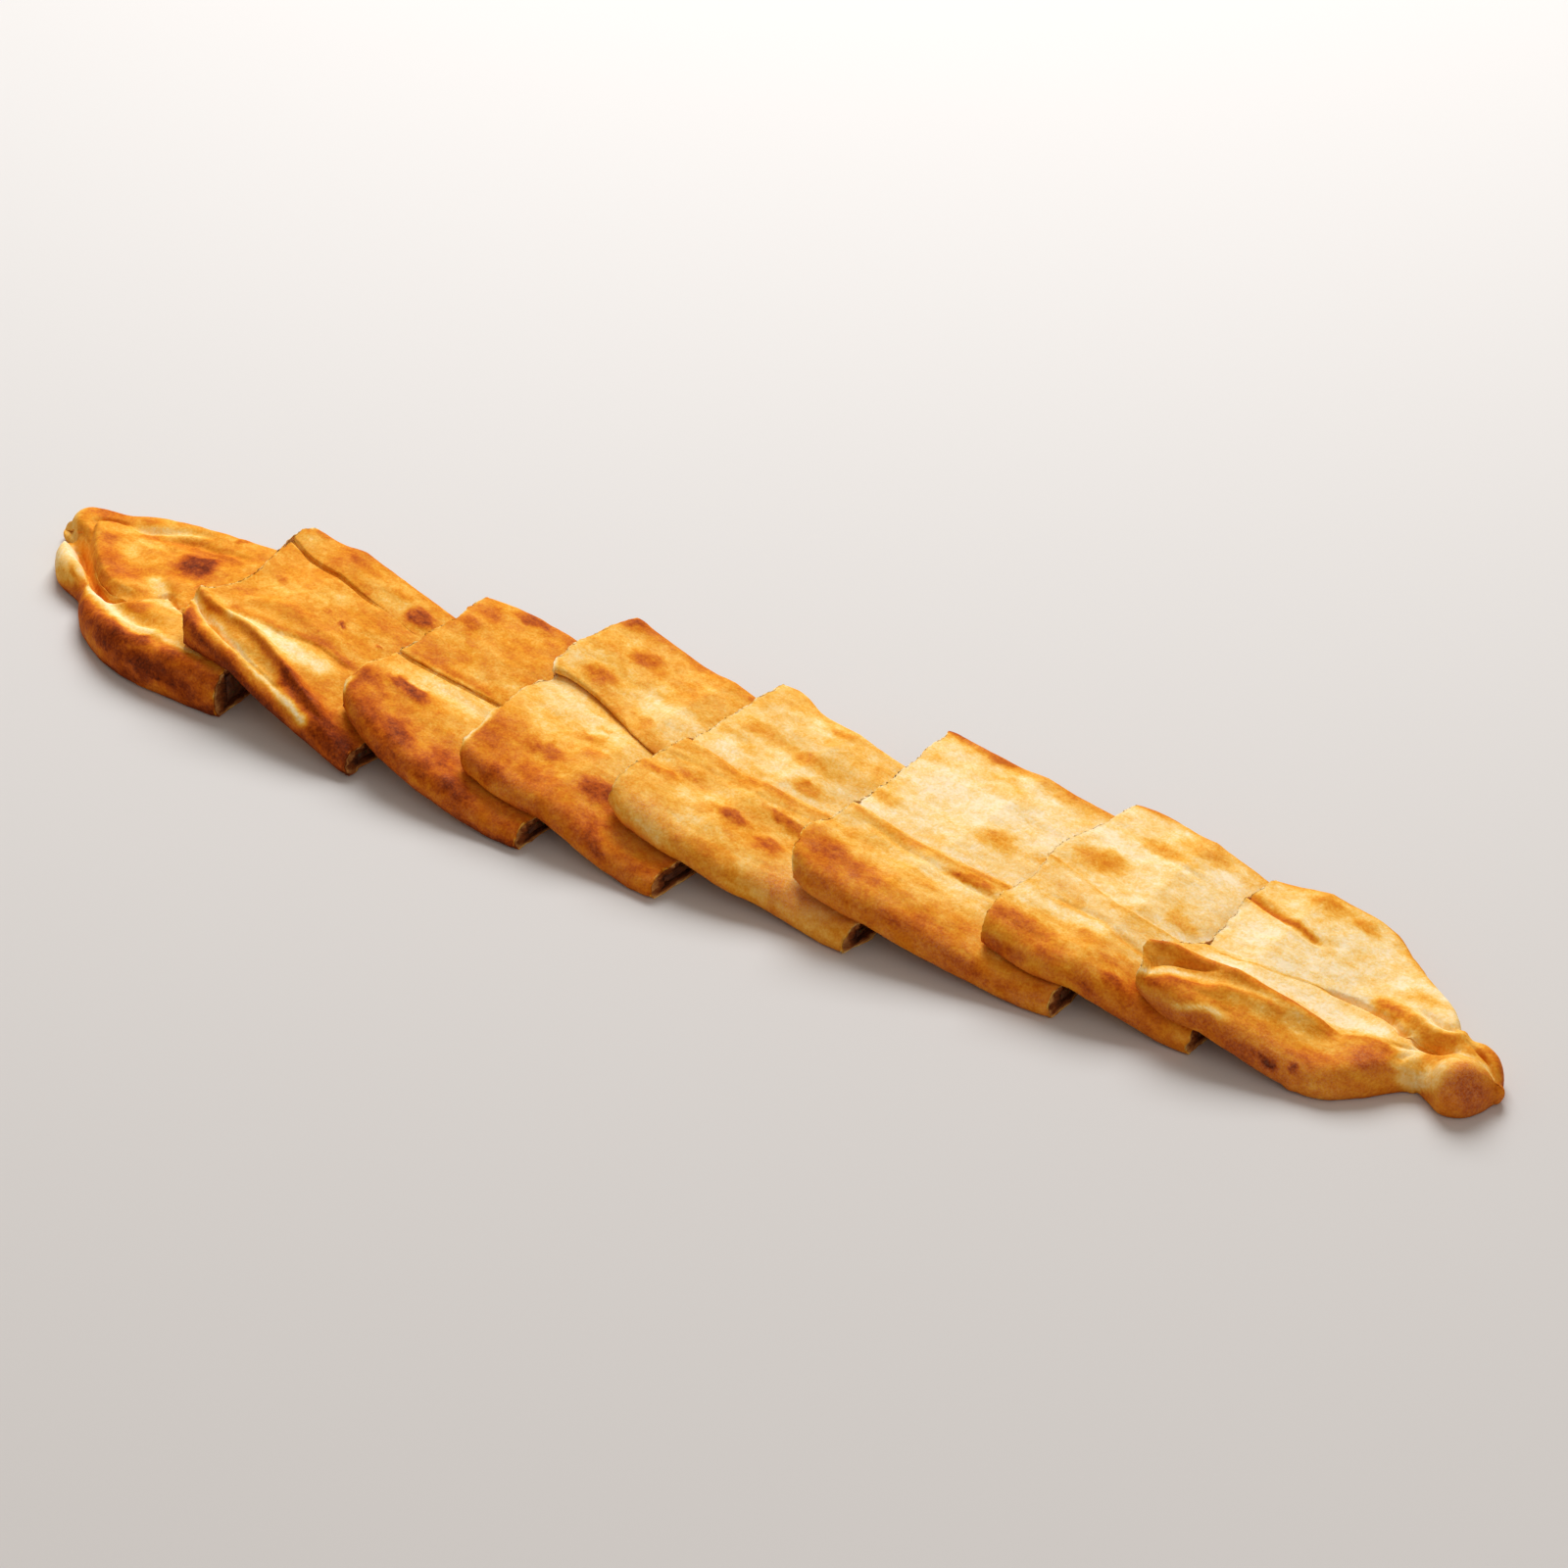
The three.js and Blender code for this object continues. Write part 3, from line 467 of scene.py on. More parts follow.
            {"line": [(90, -41), (93, -33), (95, -24)], "height": -1.2, "widths": (1.1, 1.1)},
            {"line": [(101, -44), (99.5, -36), (98.5, -30), (100, -25), (103, -22)],
             "height": -2.4, "widths": (1.6, 1.6)},
            {"line": [(104, -10), (109, -12.5), (114, -14.5), (118, -17), (122, -20)],
             "height": -1.6, "widths": (1, 0.9)},
            {"line": [(101, -30), (107, -29), (113, -29), (119, -29)], "height": 2, "widths": (8, 8)},
            {"line": [(66, -30), (75, -27), (86, -27)], "height": 0.8, "widths": (4, 4)},
        ],
        "backTone": 0.15, "frontTone": 0.26, "sideTone": 0.6,
        "frontEdge": (0.34, 24), "backEdge": (0.36, 8),
        "spots": [
            (24, 33, 10, 4, 0.32), (42, 31, 7, 4, 0.34), (51, 40, 8, 4, 0.3), (66, 27, 10, 4, 0.34),
            (50, -55, 3.6, 2.8, 0.75), (59, -52, 2.6, 2, 0.6), (47, -53, 8, 4, 0.3), (80, -36, 12, 7, 0.4),
            (66, -44, 12, 6, 0.3), (63, -31, 8, 4, 0.2), (95, -29, 1.5, 1.3, 0.8), (40, -53, 16, 5, 0.3),
            (114, -38, 9, 9, 0.24), (117, -33, 7, 12, 0.22), (114, -12, 9, 5, 0.44), (103, -34, 6, 8, -0.5),
            (107, -28, 7, 4, -0.4),
            (95, -33, 7, 10, -0.6), (90, -22, 7, 5, -0.7), (86, 14, 10, 6, -0.75), (94, 4, 7, 6, -0.7),
            (62, -19, 20, 4, -0.7), (30, -12, 34, 8, -0.5), (30, 2, 34, 7, -0.45), (60, 12, 16, 8, -0.3),
            (78, 6, 10, 6, 0.2), (56, 24, 22, 6, -0.3), (96, -42, 8, 5, 0.3), (109, -20, 6, 4, 0.14),
            (72, -6, 8, 2.6, 0.3),
        ],
        "bands": [
            # Browned ridge of the upper fold, with the band widened down over its shaded front slope: the
            # ridge's own browning, and painted shade on the slope
            {"line": [(-14, -35), (-5, -33), (4, -29), (14, -27.5), (29, -27), (45, -26.5), (58, -27),
                      (70, -29)],
             "widths": (4.2, 1.8), "bakeAndShade": 0.46},
            {"line": [(0, -50), (8, -46), (14, -43), (24, -40), (31, -36.5), (40, -34), (54, -32)],
             "widths": (2.2, 2.4), "bakeAndShade": 0.34},
            {"line": [(-6, -48), (3, -43), (9, -39), (16, -36), (22, -33)],
             "widths": (1.6, 1.6), "bakeAndShade": -0.85},
            {"line": [(10, -53), (15, -52), (21, -50.5), (28, -48.4), (36, -46)],
             "widths": (1.8, 1.4), "bakeAndShade": -0.8},
            {"line": [(4, -21.5), (14, -21), (30, -20.5), (44, -18.5), (56, -16.5), (68, -17), (80, -20)],
             "widths": (4, 4), "bakeAndShade": -0.75},
            {"line": [(34, -31), (46, -30.5), (58, -30.5), (66, -30)], "widths": (2.6, 1.6), "bakeAndShade": -0.3},
            {"line": [(-6, 20), (4, 18.6), (12, 16.4), (20, 14), (36, 10)],
             "widths": (1.4, 2.4), "bakeAndShade": 0.52},
            {"line": [(60, -2), (72, -4), (80, -8), (88, -12), (95, -14), (101, -12), (104, -8)],
             "widths": (3.4, 3.4), "bakeAndShade": 0.44},
            {"line": [(4, -54), (24, -57), (44, -58), (66, -58)], "widths": (3, 4), "bakeAndShade": 0.3},
            {"line": [(66, -29.5), (75, -26), (84, -26), (90, -30)], "widths": (4, 1.4), "bakeAndShade": 0.34},
            {"line": [(4, -16.5), (17, -15.5), (30, -13.6), (44, -9), (57, -7)],
             "widths": (0.8, 0.8), "bakeAndShade": 0.2},
        ],
        "flour": 0.02,
        "dusted": [(112, -34, 13, 15, 0.22), (56, -54, 34, 12, 0.14), (80, -36, 16, 9, 0.14),
                   (14, -54, 16, 6, 0.14)],
    },
]
for order, s in enumerate(slices):
    s["order"] = order


def along(pairs, x):  # the value at x on a smooth line through pairs, level beyond its ends
    x = np.asarray(x, float)
    if np.isscalar(pairs):
        return np.full(x.shape, float(pairs))
    px, py = np.array(pairs, float).T
    i = np.clip(np.searchsorted(px, x, side="right") - 1, 0, len(px) - 2)
    before, after = np.maximum(i - 1, 0), np.minimum(i + 2, len(px) - 1)
    step = px[i + 1] - px[i]
    t = np.clip((x - px[i]) / step, 0, 1)
    start = (py[i + 1] - py[before]) / (px[i + 1] - px[before]) * step
    end = (py[after] - py[i]) / (px[after] - px[i]) * step
    bend = start * (t**3 - 2 * t**2 + t) + end * (t**3 - t**2)
    return py[i] + (py[i + 1] - py[i]) * (3 * t**2 - 2 * t**3) + bend


def eased(x):  # 0 to 1, with soft ends
    x = np.clip(x, 0, 1)
    return x * x * (3 - 2 * x)


def lumps(a, b, sizeA, sizeB, seed, octaves=2):  # noise of about -1 to 1, its lumps of these sizes
    a, b = np.broadcast_arrays(np.asarray(a, float), np.asarray(b, float))
    pairs = zip((a / sizeA).ravel().tolist(), (b / sizeB).ravel().tolist())
    values = [noise.fractal(Vector((x, y, seed * 7.31)), 1.0, 2.0, octaves) for x, y in pairs]
    return np.array(values).reshape(a.shape) * 1.4


def varied(start, a, b, sizes, seeds):  # a value with lumps added: each has a strength and two sizes
    for (strength, sizeA, sizeB), seed in zip(sizes, seeds):
        start = start + strength * lumps(a, b, sizeA, sizeB, seed)
    return start


def openEnds(s):  # whether the slice is cut, and so open to its filling, at its left and right end
    return s["hollow"][0] == 0, s["hollow"][1] == s["length"]


def linesAt(s, u):
    front, back = along(s["front"], u), along(s["back"], u)
    width = back - front
    rollFront, rollBack = (np.minimum(radius, width * dough["widestRoll"]) for radius in s["roll"])
    margin = width * dough["seamMargin"]
    seam = np.clip(along(s["seam"], u), front + rollFront + margin, back - rollBack - margin)
    return front, back, rollFront, rollBack, seam


def toPlan(s, u, v):
    turn = math.radians(s["turn"])
    x = u - s["length"]
    return (s["at"][0] + x * math.cos(turn) - v * math.sin(turn),
            s["at"][1] + x * math.sin(turn) + v * math.cos(turn))


def fromPlan(s, x, y):
    turn = math.radians(s["turn"])
    dx, dy = x - s["at"][0], y - s["at"][1]
    return (s["length"] + dx * math.cos(turn) + dy * math.sin(turn),
            dy * math.cos(turn) - dx * math.sin(turn))


def smoothLine(line):  # points close together on a smooth line through the given ones
    p = np.array(line, float)
    p = np.vstack([2 * p[0] - p[1], p, 2 * p[-1] - p[-2]])
    t = np.linspace(0, 1, 7)[:-1, None]

    def between(a, b, c, d):
        square, cube = 2 * a - 5 * b + 4 * c - d, 3 * b - a - 3 * c + d
        return 0.5 * (2 * b + (c - a) * t + square * t**2 + cube * t**3)

    return np.vstack([between(*four) for four in zip(p, p[1:], p[2:], p[3:])] + [p[-2:-1]])


def beside(line, u, v, reach):  # how far off a line a point lies, left of it above 0, and its fading ends
    path = smoothLine(line)
    u, v = np.broadcast_arrays(u, v)
    off, share = np.full(u.shape, 1e3), np.zeros(u.shape)
    (lowU, lowV), (highU, highV) = path.min(0) - reach, path.max(0) + reach
    inside = (u > lowU) & (u < highU) & (v > lowV) & (v < highV)
    if inside.any():
        start, step = path[:-1], np.diff(path, axis=0)
        length = np.linalg.norm(step, axis=1)
        reached = np.concatenate([[0], np.cumsum(length)])
        toward = np.stack([u[inside], v[inside]], 1)[:, None] - start
        t = np.clip((toward * step).sum(2) / length**2, 0, 1)
        gap = np.linalg.norm(toward - t[..., None] * step, axis=2)
        rows, nearest = np.arange(len(gap)), gap.argmin(1)
        side = np.cross(step[nearest], toward[rows, nearest])
        off[inside] = np.where(side < 0, -1, 1) * gap[rows, nearest]
        place = reached[nearest] + t[rows, nearest] * length[nearest]
        share[inside] = eased(np.minimum(place, reached[-1] - place) / dough["lineFade"] + dough["lineEnd"])
    return off, share


def lineShare(line, widths, u, v):  # 1 on the line, and less to its right and left by the two widths
    off, share = beside(line, u, v, dough["lineReach"] * max(widths))
    return share * np.exp(-((off / np.where(off < 0, *widths)) ** 2))


def covered(s, u, v):  # 1 where the next slice lies on this one, 0 where it shows
    if s is slices[-1]:
        return np.zeros(np.broadcast(u, v).shape)
    over = slices[s["order"] + 1]
    overU, overV = fromPlan(over, *toPlan(s, u, v))
    front, back = linesAt(over, np.clip(overU, 0, over["length"]))[:2]
    inside = np.minimum(overU - along(over["cut"], overV), np.minimum(overV - front, back - overV))
    width, edge = dough["coverFade"]
    return eased(inside / width + edge)


def foldHeight(s, u, v):
    total = np.zeros(np.broadcast(u, v).shape)
    for fold in s["folds"]:
        fade = np.clip(np.minimum(u - fold["from"], fold["to"] - u) / dough["foldFade"], 0, 1)
        total = total + fold["height"] * fade * np.exp(-(((v - along(fold["line"], u)) / fold["width"]) ** 2))
    return total


def fineHeight(s, u, v):  # finer creases, and slow waves of the dough
    total = varied(0, u, v, dough["undulation"], (s["order"], s["order"] + 20))
    far, short, long = dough["stray"]
    strayU = u + far * lumps(u, v, short, long, s["order"] + 40)
    strayV = v + far * lumps(u, v, long, short, s["order"] + 50)
    for crease in s["creases"]:
        total += crease["height"] * lineShare(crease["line"], crease["widths"], strayU, strayV)
    return total * (1 - covered(s, u, v))


def smoothHeight(s, u, v, onBack):  # of a flap's top over the underside
    front, back, rollFront, rollBack, seam = linesAt(s, u)
    across = (v - seam) / (back - seam) if onBack else (seam - v) / (seam - front)
    swell = dough["crown"] * (1 - (2 * np.clip(across, 0, 1) - 1) ** 2)
    height = along(s["backHeight"] if onBack else s["frontHeight"], u) + swell + foldHeight(s, u, v)
    return np.maximum(height, dough["thinnestFlap"])


def flapHeight(s, u, v, onBack):
    thinnest = dough["thinnestFlap"] - dough["fineThinning"]
    return np.maximum(smoothHeight(s, u, v, onBack) + fineHeight(s, u, v), thinnest)


def underside(s, u, v):  # leans up to the left cut, and clears the slice under it
    rise = np.maximum(0, 1 - u / max(s["length"] - s["flat"], 1)) ** dough["leanPower"]
    across = np.clip(v / dough["liftWidth"] + 0.5, 0, 1)
    own = (s["lift"][0] + (s["lift"][1] - s["lift"][0]) * across) * rise
    if s["order"] == 0:
        return own
    below = slices[s["order"] - 1]
    belowU, belowV = fromPlan(below, *toPlan(s, u, v))
    restU = np.clip(belowU, 0, below["length"])
    front, back, rollFront, rollBack = linesAt(below, restU)[:4]
    restV = np.clip(belowV, front + rollFront, back - rollBack)
    heights = [along(below[flap], restU) for flap in ("frontHeight", "backHeight")]
    thickness = np.maximum(*heights) + dough["crown"]
    past = np.maximum(0, belowU - below["length"] - dough["drapeHold"])
    held = underside(below, restU, restV) + thickness + dough["sliceGap"] - past * dough["drapeSlope"]
    near = np.maximum(dough["drapeBlend"] - np.abs(own - held), 0) / dough["drapeBlend"]
    return np.maximum(own, held) + near * near * dough["drapeBlend"] / 4


def crowded(s, us, start, end, count):  # places from start to end, closer together at creases and the seam
    crowding = dough["crowding"]
    fine = start + (end - start) * np.linspace(0, 1, crowding["samples"])
    u = us[:, None]
    strength, reach = crowding["seam"]
    weight = 1 + strength * np.exp(-(((fine - along(s["seam"], u)) / reach) ** 2))
    strength, widest, wider = crowding["crease"]
    for crease in s["creases"]:
        widths = np.minimum(crease["widths"], widest) + wider
        weight = weight + strength * lineShare(crease["line"], widths, u, fine)
    reached = np.hstack([0 * u, np.cumsum((weight[:, 1:] + weight[:, :-1]) / 2, 1)])
    return np.array([np.interp(np.linspace(0, row[-1], count), row, at) for row, at in zip(reached, fine)])


# Which part of the outline a column of the mesh belongs to
parts = {"bottom": 0, "backEdge": 1, "back": 2, "lip": 3, "front": 4, "frontEdge": 5}


def outlines(s, us):  # v and w of the outline at each u, from the underside's front round its back
    count = dough["columns"]
    u = us[:, None]
    front, back, rollFront, rollBack, seam = (line[:, None] for line in linesAt(s, us))
    foot = np.minimum(dough["foot"], np.minimum(rollFront, rollBack))
    backTop = flapHeight(s, u, back - rollBack, True)
    frontTop = flapHeight(s, u, front + rollFront, False)
    high, low = flapHeight(s, u, seam, True), flapHeight(s, u, seam, False)
    step = np.maximum(np.abs(high - low), dough["leastStep"])
    backUp = high >= low
    lip = np.minimum(step / 2, dough["lipRadius"])
    under = lip + np.minimum(step * dough["lipUndercut"][0], dough["lipUndercut"][1])
    thick = step * dough["lipThickness"]
    backEnd = np.where(backUp, seam + lip, seam - under)
    frontStart = np.where(backUp, seam + under, seam - lip)
    sweep = np.radians(np.linspace(90, -90, count["lip"] + 1))
    down, up = sweep[1:], sweep[::-1][:-1]
    backLip = (seam + lip - lip * np.cos(down), high - thick / 2 * (1 - np.sin(down)))
    frontLip = (seam - lip + lip * np.cos(up), low - thick / 2 * (1 - np.sin(up)))
    short, rise = dough["lipCrease"]
    creaseV = np.where(backUp, frontStart - short * (under - lip), backEnd + short * (under - lip))
    creaseW = np.minimum(high, low) + step * rise
    lipV = np.where(backUp, np.hstack([backLip[0], creaseV]), np.hstack([creaseV, frontLip[0]]))
    lipW = np.where(backUp, np.hstack([backLip[1], creaseW]), np.hstack([creaseW, frontLip[1]]))
    backV = crowded(s, us, back - rollBack, backEnd, count["back"] + 1)[:, 1:]
    frontV = crowded(s, us, frontStart, front + rollFront, count["front"])
    footTurn = np.radians(np.linspace(-90, 0, count["foot"] + 1)[1:])
    rollTurn = np.radians(np.linspace(0, 90, count["roll"] + 1)[1:])
    rollDown, footDown = rollTurn[::-1][1:], footTurn[::-1][1:]
    backWaist, frontWaist = backTop * dough["waist"], frontTop * dough["waist"]
    pieces = [
        ("bottom", front + foot + (back - front - 2 * foot) * np.linspace(0, 1, count["bottom"]),
         np.zeros((len(us), count["bottom"]))),
        ("backEdge", back - foot + foot * np.cos(footTurn), backWaist * (1 + np.sin(footTurn))),
        ("backEdge", back - rollBack + rollBack * np.cos(rollTurn),
         backWaist + (backTop - backWaist) * np.sin(rollTurn)),
        ("back", backV, flapHeight(s, u, backV, True)),
        ("lip", lipV, lipW),
        ("front", frontV, flapHeight(s, u, frontV, False)),
        ("frontEdge", front + rollFront - rollFront * np.cos(rollDown),
         frontWaist + (frontTop - frontWaist) * np.sin(rollDown)),
        ("frontEdge", front, frontWaist),
        ("frontEdge", front + foot - foot * np.cos(footDown), frontWaist * (1 + np.sin(footDown))),
    ]
    part = np.concatenate([np.full(v.shape[1], parts[name]) for name, v, w in pieces])
    return np.hstack([v for name, v, w in pieces]), np.hstack([w for name, v, w in pieces]), part


def fillingSpace(s, us, part, margin=0.0):  # the outline of the filling's space, with as many columns
    u = us[:, None]
    front, back, rollFront, rollBack, seam = (line[:, None] for line in linesAt(s, us))
    near, far = front + dough["side"] + margin, back - dough["side"] - margin
    low = dough["floor"] + margin

    def roofAt(v):  # the filling keeps further from the step at the seam than its space does
        reach = dough["roofReach"]
        reached = [v + x for x in (-reach - 5 * margin, -reach, 0, reach, reach + 5 * margin)]
        tops = [np.where(x > seam, smoothHeight(s, u, x, True), smoothHeight(s, u, x, False))
                for x in reached]
        return np.maximum(np.minimum.reduce(tops) - dough["roof"] - margin, low + dough["thinnestFilling"])

    bottom = (part == parts["bottom"]).sum()
    backEdge = (part == parts["backEdge"]).sum()
    frontEdge = (part == parts["frontEdge"]).sum()
    top = len(part) - bottom - backEdge - frontEdge
    bottomV = near + (far - near) * np.linspace(0, 1, bottom)
    topV = far + (near - far) * np.linspace(0, 1, top)
    topW = roofAt(topV)
    climb = np.linspace(0, 1, backEdge + 2)[1:-1]
    fall = np.linspace(1, 0, frontEdge + 2)[1:-1]
    v = np.hstack([bottomV, far + 0 * climb, topV, near + 0 * fall])
    w = np.hstack([low + 0 * bottomV, low + (topW[:, :1] - low) * climb, topW,
                   low + (topW[:, -1:] - low) * fall])
    return v, w


def drawnIn(v, w, share):  # an outline shrunk towards its own middle
    middleV = (v.min(1, keepdims=True) + v.max(1, keepdims=True)) / 2
    middleW = (w.min(1, keepdims=True) + w.max(1, keepdims=True)) / 2
    return middleV + (v - middleV) * share, middleW + (w - middleW) * share


kinds = {"skin": 0, "cut": 1, "cavity": 2}


def doughRows(s):  # every row of the slice's skin: u, v, w, what it is, and how far down a cut it lies
    length, hollow = s["length"], s["hollow"]
    openLeft, openRight = openEnds(s)
    edge, width = np.array(dough["edgeRows"]), dough["edgeWidth"]
    middle = np.linspace(width, length - width, round((length - 2 * width) / dough["rowStep"]))
    us = np.concatenate([edge, middle, length - edge[::-1]])
    v, w, part = outlines(s, us)
    innerRows = max(round((hollow[1] - hollow[0]) / dough["cavityStep"]), 6)
    innerUs = np.linspace(hollow[1], hollow[0], innerRows)
    innerV, innerW = fillingSpace(s, innerUs, part)
    blocks = []

    def add(u, v, w, kind, depth):
        rows = len(v)
        blocks.append((np.broadcast_to(np.asarray(u, float).reshape(-1, 1), v.shape), v, w,
                       np.full(rows, kinds[kind]), np.broadcast_to(depth, (rows,))))

    def cavityEnd(at):
        ends = [drawnIn(innerV[at][None], innerW[at][None], share) for share in dough["closing"]]
        return np.vstack([x[0] for x in ends]), np.vstack([x[1] for x in ends])

    def cutFace(row, inner):
        t = np.linspace(0, 1, dough["cutRows"] + 1)[1:, None]
        return v[row] + (innerV[inner] - v[row]) * t, w[row] + (innerW[inner] - w[row]) * t, t[:, 0]

    def tip(row, side):
        turn = np.radians(np.linspace(0, 90, dough["tipRows"] + 1)[1:])
        shrunk = [drawnIn(v[row][None], w[row][None], math.cos(a)) for a in turn]
        reach = us[row] + side * dough["tipRound"] * np.sin(turn)
        return reach, np.vstack([x[0] for x in shrunk]), np.vstack([x[1] for x in shrunk])

    if openLeft and not openRight:
        endV, endW = cavityEnd(0)
        add(np.full(len(endV), hollow[1]), endV[::-1], endW[::-1], "cavity", 1)
        add(innerUs[:-1], innerV[:-1], innerW[:-1], "cavity", 1)
    if openLeft:
        faceV, faceW, t = cutFace(0, -1)
        add(np.zeros(len(faceV)), faceV[::-1], faceW[::-1], "cut", t[::-1])
    else:
        reach, tipV, tipW = tip(0, -1)
        add(reach[::-1], tipV[::-1], tipW[::-1], "skin", 0)
    add(us, v, w, "skin", 0)
    if openRight:
        faceV, faceW, t = cutFace(-1, 0)
        add(np.full(len(faceV), length), faceV, faceW, "cut", t)
        add(innerUs[1:], innerV[1:], innerW[1:], "cavity", 1)
        if not openLeft:
            endV, endW = cavityEnd(-1)
            add(np.full(len(endV), hollow[0]), endV, endW, "cavity", 1)
    else:
        reach, tipV, tipW = tip(-1, 1)
        add(reach, tipV, tipW, "skin", 0)
    u, v, w, kind, depth = (np.concatenate([np.asarray(block, float) for block in column])
                            for column in zip(*blocks))
    return u, v, w, kind, depth, part


def outward(points):  # the normals of a closed band of rows
    alongRow = np.roll(points, -1, 1) - np.roll(points, 1, 1)
    alongSlice = np.gradient(points, axis=0)
    normals = np.cross(alongRow, alongSlice)
    return normals / np.maximum(np.linalg.norm(normals, axis=2, keepdims=True), 1e-9)


def spotShare(u, v, spot):
    off = np.sqrt(((u - spot[0]) / spot[2]) ** 2 + ((v - spot[1]) / spot[3]) ** 2)
    return eased((1.25 - off) / (1.15 - 0.5 * abs(spot[4]))) * spot[4]


def browned(bakeAndShade, share):  # share above 0 browns what is left to brown, below 0 it pales
    return np.where(share > 0, bakeAndShade + (1 - bakeAndShade) * share, bakeAndShade * (1 + share))


# How the finish varies. Lumps are (strength, size along the slice, size across it).
finishLook = {
    "warpAlong": [(2.2, 10, 8), (0.8, 3.2, 2.8)], "warpAcross": [(1.8, 9, 8), (0.8, 3.2, 2.8)],
    "bandWarp": 0.4,  # share of the warp that bands follow, and spots follow all of it
    "tone": [(0.1, 19, 13), (0.07, 6.5, 5), (0.012, 30, 3)],
    "side": [(0.14, 16, 6)], "sideReach": 6,  # how far up the rolled edges
    "inSpots": [(0.2, 3.4, 2.6)],
    "bottomTone": 0.55, "bottom": [(0.2, 18, 16), (0.1, 5, 5)],
    "torn": {"size": 5, "share": 0.35, "contrast": 2, "reach": 0.6, "paling": 0.6},
    "flour": {"lumps": [(1.5, 7, 6)], "onBottom": 0.2, "lessOnBrown": 0.7},
    # The crumb tones are partly painted shade; the left cuts take only a share of them, so the right cuts are
    # painted darker
    "crumb": {"tones": (0.1, 0.5, 0.3), "steepness": 2.4, "leftCutShareOfShadedTone": 0.6, "lumps": [(0.15, 4, 3)]},
}


def tornShare(s, u, v, w, seed):  # 1 where the crust is torn off at a cut, in lumps
    torn, length = finishLook["torn"], s["length"]
    openLeft, openRight = openEnds(s)
    lumpy = eased((lumps(v, w, torn["size"], torn["size"], seed) + torn["share"]) * torn["contrast"])
    share = lumpy * np.exp(-np.minimum(u, length - u).clip(0) / torn["reach"])
    if not openLeft:
        share = share * (u > length / 2)
    if not openRight:
        share = share * (u < length / 2)
    return share


# The bake also carries painted shade, from a few bands and from the cut faces' crumb
def finishOf(s, u, v, w, depth, part):  # bake, sheer and flour of every point
    look, seed = finishLook, s["order"] * 3 + 60
    front, back = linesAt(s, u)[:2]
    onBackEdge, onFrontEdge = part == parts["backEdge"], part == parts["frontEdge"]
    backHeight, frontHeight = along(s["backHeight"], u), along(s["frontHeight"], u)
    down = np.maximum(backHeight * onBackEdge + frontHeight * onFrontEdge - w, 0)
    over = v + down * onBackEdge - down * onFrontEdge  # across the skin, also down its rolled edges
    warpU = varied(u, u, over, look["warpAlong"], (seed, seed + 12))
    warpV = varied(over, u, over, look["warpAcross"], (seed + 1, seed + 13))
    onBack = np.where(part == parts["lip"], backHeight > frontHeight, (part == parts["back"]) | onBackEdge)
    bakeAndShade = np.where(onBack, s["backTone"], s["frontTone"])
    bakeAndShade = browned(bakeAndShade, s["frontEdge"][0] * eased(1 - (warpV - front) / s["frontEdge"][1]))
    bakeAndShade = browned(bakeAndShade, s["backEdge"][0] * eased(1 - (back - warpV) / s["backEdge"][1]))
    bakeAndShade = varied(bakeAndShade, u, over, look["tone"], (seed + 2, seed + 3, seed + 4))
    sideTone = varied(s["sideTone"], u, w, look["side"], (seed + 6,))
    nearFoot = eased(1 - w / look["sideReach"])
    bakeAndShade = np.where(onBackEdge | onFrontEdge, bakeAndShade + (sideTone - bakeAndShade) * nearFoot, bakeAndShade)
    uneven = varied(1, u, over, look["inSpots"], (seed + 14,))
    for spot in s["spots"]:
        bakeAndShade = browned(bakeAndShade, spotShare(warpU, warpV, spot) * np.where(spot[4] > 0, uneven, 1))
    warped = look["bandWarp"]
    bandU, bandV = u * (1 - warped) + warpU * warped, over * (1 - warped) + warpV * warped
    for band in s["bands"]:
        bakeAndShade = browned(bakeAndShade, band["bakeAndShade"] * lineShare(band["line"], band["widths"], bandU, bandV))
    bottomTone = varied(look["bottomTone"], u, v, look["bottom"], (seed + 7, seed + 8))
    bakeAndShade = np.where(part == parts["bottom"], bottomTone, bakeAndShade)
    bakeAndShade = bakeAndShade * (1 - look["torn"]["paling"] * tornShare(s, u, v, w, seed + 9))
    sheer, dusted = (sum((spotShare(warpU, warpV, spot) for spot in s.get(name, [])), np.zeros(u.shape))
                     for name in ("sheer", "dusted"))
    flour = s["flour"] * varied(1, u, over, look["flour"]["lumps"], (seed + 10,)) + dusted
    flour = flour * (1 - look["flour"]["lessOnBrown"] * np.clip(bakeAndShade, 0, 1))
    flour = np.where(part == parts["bottom"], look["flour"]["onBottom"], flour)
    inner, deep = (depth > dough["crustOverCut"])[:, None], depth[:, None]
    # Down the cut the crumb darkens towards the filling: partly its own colour, partly painted shade of the
    # cut's hollow
    pale, brown, deepAndShaded = look["crumb"]["tones"]  # at the crust, further down, and beside the filling
    steepness = look["crumb"]["steepness"]
    crumbTone = pale + brown * eased(deep * steepness) + deepAndShaded * eased((deep - 0.5) * steepness)
    # The right cut faces keep the full, darker crumb tone as painted shade, since they lie in the shade under
    # the next slice; the left cuts take only a share of it
    crumbTone = crumbTone * np.where(u < s["length"] / 2, look["crumb"]["leftCutShareOfShadedTone"], 1)
    bakeAndShade = np.where(inner, varied(crumbTone, v, w, look["crumb"]["lumps"], (seed + 11,)), bakeAndShade)
    return np.clip(np.stack([bakeAndShade, sheer, np.where(inner, 0, flour), np.ones(u.shape)], 2), 0, 1)


